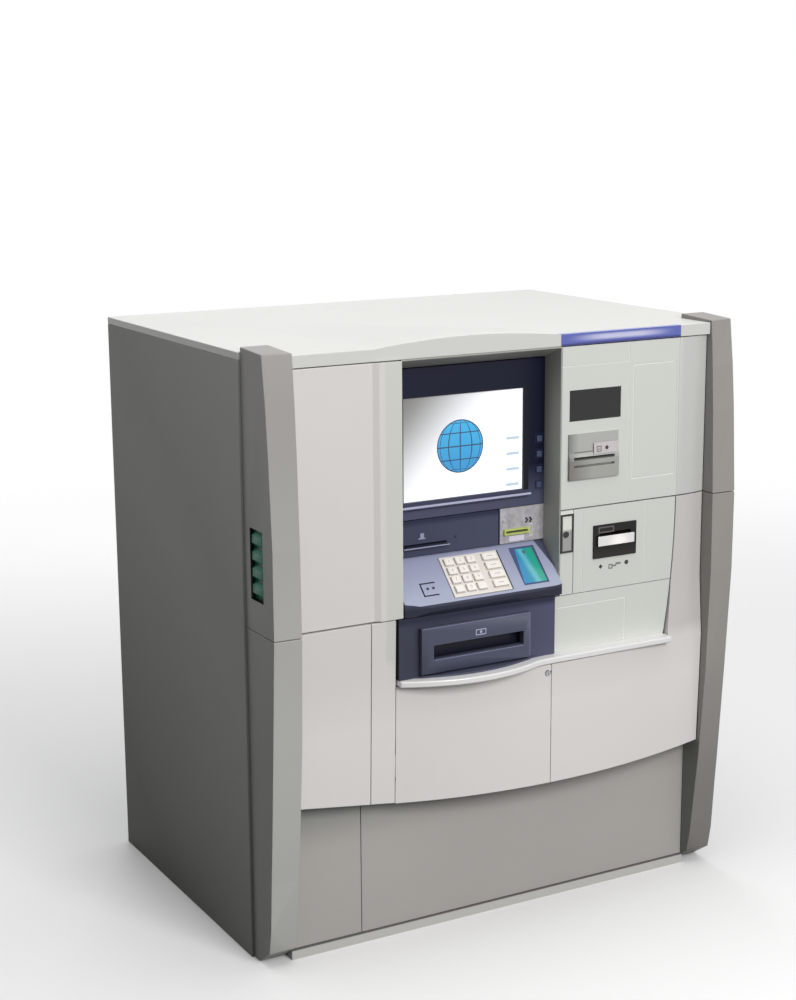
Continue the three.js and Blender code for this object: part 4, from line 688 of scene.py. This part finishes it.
class CASHMACHINE_OT_slot_panels(bpy.types.Operator):
    """Finishes the receipt panel and the card reader with their prints and bezels"""
    bl_idname = "cash_machine.slot_panels"
    bl_label = "Receipt and card slots"

    def execute(self, context):
        size, front = sizes(), BAY_FACE
        # Navy moulding, a little lighter to the right and in shade under the bezel
        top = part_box("receipt_panel")[1].z
        panel = surface("moulded_navy_receipt_panel", "#383b50", 0.45, (
            ("#414559", (X, -0.28, -0.03)), ("#22253c", (Z, top - 15 * MM, top - 5 * MM)),
        ), **MOULDED)
        dress("receipt_panel", panel, size.plastic_edge)
        pale = printed_ink("pale_lilac_print_and_highlight", "#8f91ab")
        ink = front - size.ink_thick
        # A pale line along the slot's lip: a painted highlight
        add_piece(
            "receipt_lip_painted_highlight", pale, "receipt_panel",
            (add_slab, (-0.238, front - 8.5 * MM, 0.8612), (-0.125, front - 7.98 * MM, 0.8636)),
        )
        # A slip of paper leaving a slot, as a plain sign
        add_piece(
            "receipt_sign", pale, "receipt_panel",
            (add_slab, (-0.198, ink, 0.8785), (-0.181, front, 0.8815)),
            (add_slab, (-0.1935, ink, 0.8815), (-0.1845, front, 0.8915)),
        )
        add_piece(
            "receipt_lamp", gloss_acrylic("dark_receipt_lamp", "#10131f"), "receipt_panel",
            (add_disc, (-0.107, front - 1.2 * MM, 0.8755), 3.2 * MM, 1.3 * MM, 24), edge=size.fine_edge,
        )
        self.reader(size, front, ink)
        return {"FINISHED"}

    def reader(self, size, front, ink):
        # Hammer-finish paint mottled in patches of 20 mm, a dark joint at its left, a bezel of tinted acrylic
        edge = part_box("card_reader")[0].x
        panel = surface("hammered_card_reader", colours().reader, 0.45, (
            ("#171a2e", (X, edge + 3.2 * MM, edge + 2.4 * MM)),
            (colours().card_bezel, (Y, front - 0.4 * MM, front - 0.6 * MM)),
        ), clouds=(0.24, 20 * MM), grain=(3 * MM, 0.1 * MM))
        dress("card_reader", panel, size.plastic_edge)
        plate = front - size.plate_thick
        add_piece(
            "card_label_bar", printed_ink("white_label", "#d9cfe0"), "card_reader",
            (add_slab, (0.029, plate, 0.8465), (0.068, front, 0.8585)), edge=size.ink_thick,
        )
        # Two arrowheads in steps, for the way the card goes in
        steps = [
            (add_slab, (left + shift, ink, bottom), (left + shift + 6.5 * MM, front, bottom + 4 * MM))
            for shift in (0.0, 10 * MM) for left, bottom in ((0.070, 0.884), (0.0725, 0.888), (0.070, 0.892))
        ]
        add_piece("card_way_marks", printed_ink("dark_print", "#2a2a30"), "card_reader", *steps)
        add_piece(
            "card_bracket_mark", printed_ink("pale_bracket_print", "#c9c8bf"), "card_reader",
            (add_frame_plate, (0.0815, 0.0895, 0.853, 0.882), (0.0835, 0.0880, 0.856, 0.879), plate, front),
        )
        add_piece(
            "card_lens", gloss_acrylic("pale_card_lens", "#b7b3ba", 0.15), "card_reader",
            (add_disc, (0.016, front - 2.5 * MM, 0.895), 5 * MM, 2.6 * MM, 28, 3.6 * MM), edge=size.fine_edge,
        )


class CASHMACHINE_OT_shelf(bpy.types.Operator):
    """Finishes the keyboard shelf, the keypad with its digits, the earphone inset and the card sketch"""
    bl_idname = "cash_machine.shelf"
    bl_label = "Keyboard shelf"

    def execute(self, context):
        size, tone = sizes(), colours()
        dress("keyboard_shelf", self.two_tone(tone), size.plastic_edge)
        plate = brushed_metal("brushed_keypad_plate", tone.keypad, 0.42, 0.35, 20.0)
        dress("keypad_plate", plate, size.plastic_edge)
        # Ivory ABS, all of one tone
        cap = surface("moulded_ivory_keys", tone.key, 0.42, **MOULDED)
        number = printed_ink("grey_key_digits", "#b0a69e")
        for index in range(1, 13):
            dress(f"number_key_{index}", cap, size.plastic_edge)
        for index in range(1, 5):
            dress(f"wide_key_{index}", cap, size.plastic_edge)
            self.bar(f"wide_key_{index}", number, size)
        for index in range(1, 10):
            self.digit(str(index), f"number_key_{index}", number, size)
        self.digit("0", "number_key_11", number, size)
        # A black strip at the right of the keypad plate: a painted shadow along its edge
        add_piece(
            "keypad_side_painted_shadow", spark_textured_abs("black_painted_shadow_strip", "#141416", 0.7), "keypad_plate",
            (add_slab, (-0.0079, -0.1125, -0.3 * MM), (-0.0052, -0.0135, 2.6 * MM)),
            edge=size.fine_edge, matrix=SLOPE,
        )
        self.jacks()
        self.card(tone)
        return {"FINISHED"}

    def two_tone(self, tone):
        # Moulded in one shot and sprayed on top: lavender on the slope, navy on the lip and in the recesses;
        # the lip darker below and the slope darker toward its back are painted shade
        out = Vector((0.0, -HALF_TURN_SHARE, HALF_TURN_SHARE))
        level = out.dot(SHELF_TOP) - 0.9 * MM
        # The sprayed field's right edge leans in by 0.31 mm for each millimetre up the slope
        lean = 0.31 * HALF_TURN_SHARE
        across = Vector((1.0, lean, lean))
        edge = 0.0955 + across.dot(SHELF_TOP)
        sprayed = ((tuple(out), level, level + HAIR), (tuple(across), edge, edge - HAIR))
        return surface("two_tone_keyboard_shelf", "#242736", 0.42, (
            (tone.navy, (Z, 0.748, 0.765)),
            (tone.shelf, *sprayed),
            ("#9094ae", *sprayed, (Z, SHELF_TOP.z - 0.07, SHELF_TOP.z - 0.01)),
        ), **MOULDED)

    def middle(self, node):
        """Centre of a key on the slope, in the slope's own axes."""
        low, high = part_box(node)
        return SLOPE.inverted() @ ((low + high) / 2)

    def digit(self, text, node, ink, size):
        curve = bpy.data.curves.new("digit", "FONT")
        curve.body = text
        curve.size = size.digit_height / 0.7
        curve.extrude = size.ink_thick / 2
        curve.align_x = "CENTER"
        curve.align_y = "CENTER"
        holder = bpy.data.objects.new("digit", curve)
        bpy.context.scene.collection.objects.link(holder)
        shape = bpy.context.evaluated_depsgraph_get()
        shape.update()
        mesh = bpy.data.meshes.new_from_object(holder.evaluated_get(shape))
        bpy.data.objects.remove(holder)
        spot = self.middle(node)
        mesh.transform(SLOPE @ Matrix.Translation((spot.x, spot.y, size.key_top)))
        place_piece(f"{node}_digit", mesh, ink, node, 0.0)

    def bar(self, node, ink, size):
        spot = self.middle(node)
        add_piece(
            f"{node}_bar", ink, node,
            (add_slab, (spot.x - 7 * MM, spot.y - 0.8 * MM, size.key_top - 0.05 * MM),
             (spot.x + 7 * MM, spot.y + 0.8 * MM, size.key_top + size.ink_thick)),
            body=node, matrix=SLOPE,
        )

    def jacks(self):
        rim, slot = spark_textured_abs("grey_jack_rims", "#6f7590", 0.35), record_slot("keyboard_shelf")
        for name, x in (("left", -0.205), ("right", -0.191)):
            bm = bmesh.new()
            place = Matrix.Translation((x, -0.081, 0.0))
            bmesh.ops.create_circle(bm, segments=24, radius=3.6 * MM, matrix=place)
            ring = bmesh.ops.extrude_edge_only(bm, edges=bm.edges[:])
            inner = [v for v in ring["geom"] if isinstance(v, bmesh.types.BMVert)]
            bmesh.ops.scale(bm, verts=inner, vec=(0.66, 0.66, 1.0), space=place.inverted())
            thicken(bm, (0.0, 0.0, 0.5 * MM))
            make_piece(f"jack_rim_{name}", bm, rim, edge=0.15 * MM, matrix=SLOPE)

    def card(self, tone):
        floor = -2 * MM
        add_piece(
            "card_sketch_ground", printed_ink("blue_grey_ground", "#3c4a70"), "keyboard_shelf",
            (add_slab, (0.0263, -0.1077, floor + 0.02 * MM), (0.0897, -0.0123, floor + 0.4 * MM)),
            matrix=SLOPE,
        )
        # A bank card seen slightly from below: narrower at its far end
        bm = bmesh.new()
        bmesh.ops.create_grid(bm, x_segments=1, y_segments=1, size=1.0)
        corners = {
            (-1, -1): (0.0285, -0.1035), (1, -1): (0.0865, -0.1035),
            (1, 1): (0.0835, -0.0165), (-1, 1): (0.0395, -0.0165),
        }
        for vert in bm.verts:
            x, y = corners[(round(vert.co.x), round(vert.co.y))]
            vert.co = (x, y, floor + 0.42 * MM)
        thicken(bm, (0.0, 0.0, 0.5 * MM))
        # Glossy print: blue at the left, green at the right, and a pale sheen between them that is a painted
        # highlight
        level = 0.058 + 0.12 * (SHELF_TOP.y + SHELF_TOP.z - 0.085)
        print_and_painted_sheen = surface("printed_card_sketch_and_painted_sheen", tone.card_blue, 0.25, (
            (tone.card_green, (X, 0.04, 0.075)),
            ("#7cc8d8", ((1.0, 0.12, 0.12), 13 * MM, 0.0, level), 0.55),
        ), coat=0.6)
        make_piece("card_sketch", bm, print_and_painted_sheen, edge=0.2 * MM, matrix=SLOPE)
        bm = bmesh.new()
        bmesh.ops.create_cone(
            bm, cap_ends=True, segments=24, radius1=4 * MM, radius2=4 * MM, depth=0.5 * MM,
            matrix=Matrix.Translation((0.0605, -0.026, floor + 1.05 * MM)),
        )
        make_piece("card_sketch_dot", bm, printed_ink("brown_print", "#4d5a52"), matrix=SLOPE)


class CASHMACHINE_OT_dispenser(bpy.types.Operator):
    """Finishes the dispenser fascia, its slot frame, the shutter and the parcel ledge"""
    bl_idname = "cash_machine.dispenser"
    bl_label = "Note dispenser front"

    def execute(self, context):
        size, tone = sizes(), colours()
        block = CASH_FACE - 14 * MM
        # Navy moulding in shade at its top, with a lighter slot frame that is black inside
        fascia = surface("moulded_navy_fascia", "#383b4a", 0.42, (
            ("#4e4e66", (X, -0.2, 0.1)),
            ("#23263a", (Z, 0.712, 0.724)),
            (tone.navy_light, (Y, block + 8 * MM, block + 6 * MM)),
            ("#15161f", (Y, CASH_FACE + 1 * MM, CASH_FACE + 2 * MM)),
        ), **MOULDED)
        smooth_copy("dispenser_fascia", fascia, size.plastic_edge)
        dress("dispenser_shutter", spark_textured_abs("black_shutter_blade", "#121522", 0.35), size.fine_edge)
        ink = size.ink_thick
        add_piece(
            "note_sign", printed_ink("pale_blue_print", "#a9adc6"), "dispenser_fascia",
            (add_frame_plate, (-0.108, -0.082, 0.6765, 0.6895), (-0.106, -0.084, 0.6785, 0.6875),
             block - ink, block),
            (add_disc, (-0.095, block - ink, 0.683), 3.2 * MM, ink, 20),
        )
        # Pale lines on the frame's top and right edges and along the slot's lower lip: painted highlights
        line = block - 0.4 * MM
        add_piece(
            "slot_frame_painted_highlights", printed_ink("lavender_painted_edge_highlight", "#6f7392"), "dispenser_fascia",
            (add_slab, (-0.238, line, 0.7068), (0.029, block, 0.7082)),
            (add_slab, (0.0282, line, 0.611), (0.0296, block, 0.7068)),
            (add_slab, (-0.209, line, 0.6362), (0.0115, block, 0.6378)),
        )
        smooth_copy("parcel_ledge", satin_painted_steel("satin_painted_ledge", tone.ledge, 0.3), 3.5 * MM)
        return {"FINISHED"}


class CASHMACHINE_OT_right_panels(bpy.types.Operator):
    """Finishes the right-hand panels with the window, passbook, lock and deposit modules"""
    bl_idname = "cash_machine.right_panels"
    bl_label = "Right-hand panels"

    def execute(self, context):
        size, tone = sizes(), colours()
        # Satin paint, darker on the band at the right, painted shade, and whiter in the embossed lines,
        # painted light over the shade in them
        paint = surface("satin_painted_panels", tone.panel, 0.4, (
            ("#c2c2bf", (X, 0.43, 0.45)),
            ("#e2e3de", (Y, PANEL_FACE + 0.55 * MM, PANEL_FACE + 0.65 * MM),
             (Y, PANEL_FACE + 1.15 * MM, PANEL_FACE + 1.05 * MM), (X, 0.432, 0.42)),
        ), **SATIN)
        smooth_copy("right_upper_panel", paint, size.fine_edge)
        dress("right_middle_panel", paint, size.fine_edge)
        dress("right_lower_panel", paint, size.fine_edge)
        dress("bay_liner", satin_painted_steel("satin_painted_liner", tone.liner, 0.45), size.fine_edge)
        add_piece(
            "window_pane", gloss_acrylic("smoked_acrylic_window", "#131314", 0.06), "right_upper_panel",
            (add_slab, (0.1424, PANEL_FACE + 2.4 * MM, 1.1094), (0.2766, PANEL_FACE + 3.98 * MM, 1.1766)),
            edge=size.fine_edge,
        )
        self.passbook(size, tone)
        # Painted plate with a black moulded rim: white above the key switch, mid grey below it
        plate = surface("painted_lock_module", "#9c9c9b", 0.42, (
            ("#dcdcd6", (Z, 0.868, 0.874)),
            (tone.panel, (Z, 0.8212, 0.8208)),
            (tone.black, (Y, PANEL_FACE - 0.4 * MM, PANEL_FACE - 0.8 * MM)),
        ), grain=(3 * MM, 0.05 * MM))
        dress("lock_module", plate, size.fine_edge)
        self.deposit(size, tone)
        return {"FINISHED"}

    def passbook(self, size, tone):
        # Grey moulding, darker at its left, painted shade, and warmer below the slot
        slot = (Z, 1.0232, 1.0236)
        body = surface("moulded_passbook_module", "#77746f", 0.45, (
            ("#9f9f9a", (X, 0.145, 0.2)), ("#80837c", slot), (tone.module, slot, (X, 0.142, 0.165)),
        ), grain=MOULDED["grain"])
        dress("passbook_module", body, size.plastic_edge)
        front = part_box("passbook_module")[0].y
        face, ink = front - size.plate_thick, size.ink_thick
        add_piece(
            "passbook_label", printed_ink("pale_passbook_label", "#c6bfbf"), "passbook_module",
            (add_slab, (0.202, face, 1.0345), (0.2655, front, 1.059)), edge=ink,
        )
        add_piece(
            "passbook_dot", printed_ink("dark_passbook_print", "#33302f"), "passbook_module",
            (add_disc, (0.236, face - ink, 1.0465), 4.4 * MM, ink, 28),
        )
        add_piece(
            "passbook_sign", printed_ink("grey_passbook_print", "#7a7170"), "passbook_module",
            (add_frame_plate, (0.209, 0.222, 1.0385, 1.0515), (0.2113, 0.2197, 1.0408, 1.0492),
             face - ink, face),
            (add_slab, (0.2125, face - ink, 1.0435), (0.2185, face, 1.0455)),
        )
        add_piece(
            "passbook_line", printed_ink("grey_line_print", "#5f625d"), "passbook_module",
            (add_slab, (0.152, front - ink, 1.0412), (0.2, front, 1.0427)),
        )

    def deposit(self, size, tone):
        # Black ABS, browner below the slot
        body = surface("moulded_black_deposit_module", "#2b2624", 0.4, (
            (tone.black, (Z, 0.8, 0.82)),
        ), **MOULDED)
        dress("deposit_module", body, size.fine_edge)
        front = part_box("deposit_module")[0].y
        # Satin aluminium strip, bright at its lower middle where the studio light falls
        material, tree, shader, place = start_material("satin_aluminium_band", 0.35, 0.4)
        spot = add_node(tree, "VectorMath", {"operation": "DISTANCE"}, {0: place, 1: (0.272, front, 0.829)})
        fade = add_node(tree, "MapRange", {"interpolation_type": "SMOOTHSTEP"}, {
            "Value": spot.outputs["Value"], "From Min": 4 * MM, "From Max": 36 * MM,
        }).outputs["Result"]
        shade = add_zones(tree, place, linear("#fbf7f4"), ((tone.silver, fade),))
        set_inputs(tree, shader, {"Base Color": shade})
        add_piece(
            "deposit_band_cover", material, "deposit_module",
            (add_slab, (0.2168, front - 1.2 * MM, 0.8262), (0.3142, front + 0.3 * MM, 0.8484)),
            edge=size.plastic_edge,
        )
        ink, panel = size.ink_thick, PANEL_FACE
        dark = printed_ink("dark_deposit_print", "#2e2f2e")
        bm = bmesh.new()
        turn = Matrix.Translation((0.230, panel - ink / 2, 0.778)) @ Matrix.Rotation(math.pi / 4, 4, "Y")
        bmesh.ops.create_cube(bm, size=1.0, matrix=turn @ Matrix.Diagonal((7.5 * MM, ink, 7.5 * MM, 1.0)))
        make_piece("deposit_diamond", bm, dark)
        add_piece(
            "deposit_dot", dark, "right_middle_panel",
            (add_disc, (0.300, panel - ink, 0.7795), 5.2 * MM, ink, 28),
        )
        add_piece(
            "deposit_sign", printed_ink("grey_deposit_print", "#757674"), "right_middle_panel",
            (add_frame_plate, (0.2515, 0.2625, 0.7695, 0.7805), (0.2543, 0.2597, 0.7723, 0.7777),
             panel - ink, panel),
            (add_slab, (0.2625, panel - ink, 0.774), (0.272, panel, 0.7775)),
            (add_slab, (0.270, panel - ink, 0.7775), (0.284, panel, 0.782)),
        )
        window = panel - 4 * MM
        add_piece(
            "deposit_window_print", printed_ink("dim_print", "#5b4f4e"), "deposit_module",
            (add_frame_plate, (0.220, 0.262, 0.8545, 0.8685), (0.2235, 0.2585, 0.8575, 0.8655),
             window - ink, window),
        )


class CASHMACHINE_OT_lamp(bpy.types.Operator):
    """Gives the status lamp its green lenses and black base"""
    bl_idname = "cash_machine.lamp"
    bl_label = "Status lamp"

    def execute(self, context):
        low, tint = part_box("status_lamp")[0], tuple(colours().lamp)
        # Tinted polycarbonate lenses on a black base
        material, tree, shader, place = start_material("green_lamp_lenses", 0.3, specular=0.2)
        glow = add_clouds(tree, place, tint, 0.12, 30 * MM)
        base = add_zones(tree, place, glow, (("#101413", (X, low.x + 6.2 * MM, low.x + 6.8 * MM)),))
        set_inputs(tree, shader, {"Base Color": base, "Emission Color": tint, "Emission Strength": 0.12})
        smooth_copy("status_lamp", material, sizes().fine_edge)
        return {"FINISHED"}


class CASHMACHINE_OT_works(bpy.types.Operator):
    """Finishes the safe, the note dispenser and the computer behind the doors"""
    bl_idname = "cash_machine.works"
    bl_label = "Works inside"

    def execute(self, context):
        size = sizes()
        plate = powder_coated_steel("powder_coated_safe_plate", "#5d6167")
        dress("safe_body", plate, size.panel_edge)
        smooth_copy("safe_door", plate, size.panel_edge)
        bright = brushed_metal("bright_steel_handle", "#c4c6c8", 0.3, 1.0, 8.0)
        smooth_copy("safe_handle", bright, size.plastic_edge)
        dress("note_dispenser", spark_textured_abs("moulded_grey_cassettes", "#7f858c"), size.fine_edge)
        dress("computer", powder_coated_steel("powder_coated_computer_case", "#3a3c40"), size.plastic_edge)
        self.dial_ticks()
        low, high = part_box("computer")
        bars = [low.z + (40 + 12 * index) * MM for index in range(9)]
        add_piece(
            "computer_grille", spark_textured_abs("dark_computer_grille", "#17181a", 0.6), "computer",
            *[(add_slab, (low.x + 25 * MM, low.y - 0.6 * MM, bar), (high.x - 25 * MM, low.y, bar + 5 * MM))
              for bar in bars],
        )
        add_piece(
            "computer_switch", spark_textured_abs("grey_computer_switch", "#8a8d92", 0.4), "computer",
            (add_disc, (high.x - 22 * MM, low.y - 1.5 * MM, low.z + 200 * MM), 5 * MM, 1.6 * MM, 24),
            edge=size.fine_edge,
        )
        return {"FINISHED"}

    def dial_ticks(self):
        """Twelve plain marks round the safe's dial."""
        centre = Vector((0.12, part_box("safe_door")[1].y, 0.356))
        bm = bmesh.new()
        for index in range(12):
            turn = Matrix.Translation(centre) @ Matrix.Rotation(index * math.tau / 12, 4, "Y")
            place = turn @ Matrix.Translation((0.0, 0.1 * MM, 28 * MM))
            tick = place @ Matrix.Diagonal((1.4 * MM, 0.4 * MM, 6 * MM, 1.0))
            bmesh.ops.create_cube(bm, size=1.0, matrix=tick)
        marks = printed_ink("white_dial_marks", "#e8e8e4")
        make_piece("safe_dial_ticks", bm, marks, "safe_door")


class CASHMACHINE_OT_stage(bpy.types.Operator):
    """Adds the pale floor, the soft studio lamps, the white surround and the camera"""
    bl_idname = "cash_machine.stage"
    bl_label = "Studio"

    def execute(self, context):
        scene = context.scene
        scene.view_settings.view_transform = "Standard"
        self.floor()
        self.surround(scene)
        self.lamp("key_lamp", (0.3, -4.6, 2.9), (0.0, 0.0, 0.8), 1.8, 168.0)
        self.lamp("top_lamp", (-0.2, -0.2, 4.4), (0.0, 0.0, 1.0), 3.0, 38.0)
        # The rear lamp lights the back; it isn't mirrored in the top cover
        self.lamp("rear_lamp", (1.0, 4.2, 2.4), (0.0, 0.0, 0.8), 2.0, 45.0).visible_glossy = False
        self.camera(scene)
        return {"FINISHED"}

    def seen(self, tree):
        """1 for what the camera, mirrors and glass see, and 0 for the light that falls on things."""
        path = add_node(tree, "LightPath")
        seen = path.outputs["Is Camera Ray"]
        for ray in ("Is Glossy Ray", "Is Transmission Ray"):
            seen = add_node(tree, "Math", {"operation": "MAXIMUM"}, {0: seen, 1: path.outputs[ray]}).outputs[0]
        return seen

    def floor(self):
        bm = bmesh.new()
        bmesh.ops.create_grid(bm, x_segments=1, y_segments=1, size=sizes().floor_half)
        mesh = bpy.data.meshes.new("studio_floor")
        bm.to_mesh(mesh)
        bm.free()
        material = bpy.data.materials.new("pale_studio_floor")
        material.use_nodes = True
        tree = material.node_tree
        tree.nodes.clear()
        # The camera, mirrors and glass all see the same pale floor, fading to white away from the machine
        shown = self.seen(tree)
        place = add_node(tree, "TexCoord").outputs["Object"]
        tint = add_zones(tree, place, linear("#606060"), (("#f2f2f2", shown),))
        paint = add_node(tree, "BsdfDiffuse", inputs={"Color": tint})
        white = add_node(tree, "Emission", inputs={"Color": (1.0, 1.0, 1.0, 1.0), "Strength": 1.0})
        away = add_node(tree, "VectorMath", {"operation": "LENGTH"}, {0: place})
        fade = add_node(tree, "MapRange", {"interpolation_type": "SMOOTHSTEP"}, {
            "Value": away.outputs["Value"], "From Min": 1.2, "From Max": 5.0,
        })
        share = add_node(tree, "Math", {"operation": "MULTIPLY"}, {0: fade.outputs["Result"], 1: shown})
        mix = add_node(tree, "MixShader", inputs={
            0: share.outputs[0], 1: paint.outputs[0], 2: white.outputs[0],
        })
        add_node(tree, "OutputMaterial", inputs={"Surface": mix.outputs[0]})
        mesh.materials.append(material)
        floor = bpy.data.objects.new("studio_floor", mesh)
        bpy.context.scene.collection.objects.link(floor)

    def surround(self, scene):
        world = bpy.data.worlds.new("white_studio")
        world.use_nodes = True
        tree = world.node_tree
        tree.nodes.clear()
        # The ceiling lights the object more than the walls do
        way = add_node(tree, "NewGeometry").outputs["Position"]
        rise = add_limit(tree, way, Z, 0.0, 1.0)
        room = add_node(tree, "MapRange", inputs={"Value": rise, "To Min": 0.07, "To Max": 0.75})
        strength = add_node(tree, "MapRange", inputs={
            "Value": self.seen(tree), "To Min": room.outputs["Result"], "To Max": 1.0,
        })
        shade = add_node(tree, "Background", inputs={
            "Color": (1.0, 1.0, 1.0, 1.0), "Strength": strength.outputs["Result"],
        })
        add_node(tree, "OutputWorld", inputs={"Surface": shade.outputs[0]})
        scene.world = world

    def lamp(self, name, place, target, width, power):
        data = bpy.data.lights.new(name, "AREA")
        data.shape = "SQUARE"
        data.size = width
        data.energy = power
        lamp = bpy.data.objects.new(name, data)
        lamp.location = place
        aim = Vector(place) - Vector(target)
        lamp.rotation_mode = "QUATERNION"
        lamp.rotation_quaternion = aim.to_track_quat("Z", "Y")
        bpy.context.scene.collection.objects.link(lamp)
        return lamp

    def camera(self, scene):
        turn, rise, roll = math.radians(-29.1245), math.radians(12.2095), math.radians(-0.3804)
        back = Vector((math.sin(turn) * math.cos(rise), -math.cos(turn) * math.cos(rise), math.sin(rise)))
        side = (-back).cross(Vector((0.0, 0.0, 1.0))).normalized()
        up = side.cross(-back)
        right = side * math.cos(roll) + up * math.sin(roll)
        top = up * math.cos(roll) - side * math.sin(roll)
        data = bpy.data.cameras.new("studio_camera")
        data.sensor_width = 36.0
        data.lens = 66.142
        data.clip_start = 0.05
        data.clip_end = 100.0
        camera = bpy.data.objects.new("studio_camera", data)
        camera.matrix_world = Matrix((
            (right.x, top.x, back.x, -2.0750),
            (right.y, top.y, back.y, -3.6035),
            (right.z, top.z, back.z, 1.7828),
            (0.0, 0.0, 0.0, 1.0),
        ))
        scene.collection.objects.link(camera)
        scene.camera = camera


class CASHMACHINE_PT_sidebar(bpy.types.Panel):
    """Lists the sizes, the colours and the steps of the cash machine"""
    bl_idname = "CASHMACHINE_PT_sidebar"
    bl_label = "Cash machine"
    bl_space_type = "VIEW_3D"
    bl_region_type = "UI"
    bl_category = "Cash machine"

    def draw(self, context):
        for group in (context.scene.cash_machine_sizes, context.scene.cash_machine_colours):
            box = self.layout.box()
            for name in group.bl_rna.properties.keys():
                if name not in {"rna_type", "name"}:
                    box.prop(group, name)
        for step in STEPS:
            self.layout.operator(step.bl_idname)


STEPS = (
    CASHMACHINE_OT_carcass,
    CASHMACHINE_OT_doors,
    CASHMACHINE_OT_light_bar,
    CASHMACHINE_OT_display,
    CASHMACHINE_OT_slot_panels,
    CASHMACHINE_OT_shelf,
    CASHMACHINE_OT_dispenser,
    CASHMACHINE_OT_right_panels,
    CASHMACHINE_OT_lamp,
    CASHMACHINE_OT_works,
    CASHMACHINE_OT_stage,
)
CLASSES = (CashMachineSizes, CashMachineColours, *STEPS, CASHMACHINE_PT_sidebar)


def register():
    for kind in CLASSES:
        bpy.utils.register_class(kind)
    bpy.types.Scene.cash_machine_sizes = bpy.props.PointerProperty(type=CashMachineSizes)
    bpy.types.Scene.cash_machine_colours = bpy.props.PointerProperty(type=CashMachineColours)


def unregister():
    del bpy.types.Scene.cash_machine_colours
    del bpy.types.Scene.cash_machine_sizes
    for kind in reversed(CLASSES):
        bpy.utils.unregister_class(kind)


def main():
    register()
    steps = bpy.ops.cash_machine
    steps.carcass()
    steps.doors()
    steps.light_bar()
    steps.display()
    steps.slot_panels()
    steps.shelf()
    steps.dispenser()
    steps.right_panels()
    steps.lamp()
    steps.works()
    steps.stage()


if __name__ == "__main__":
    main()
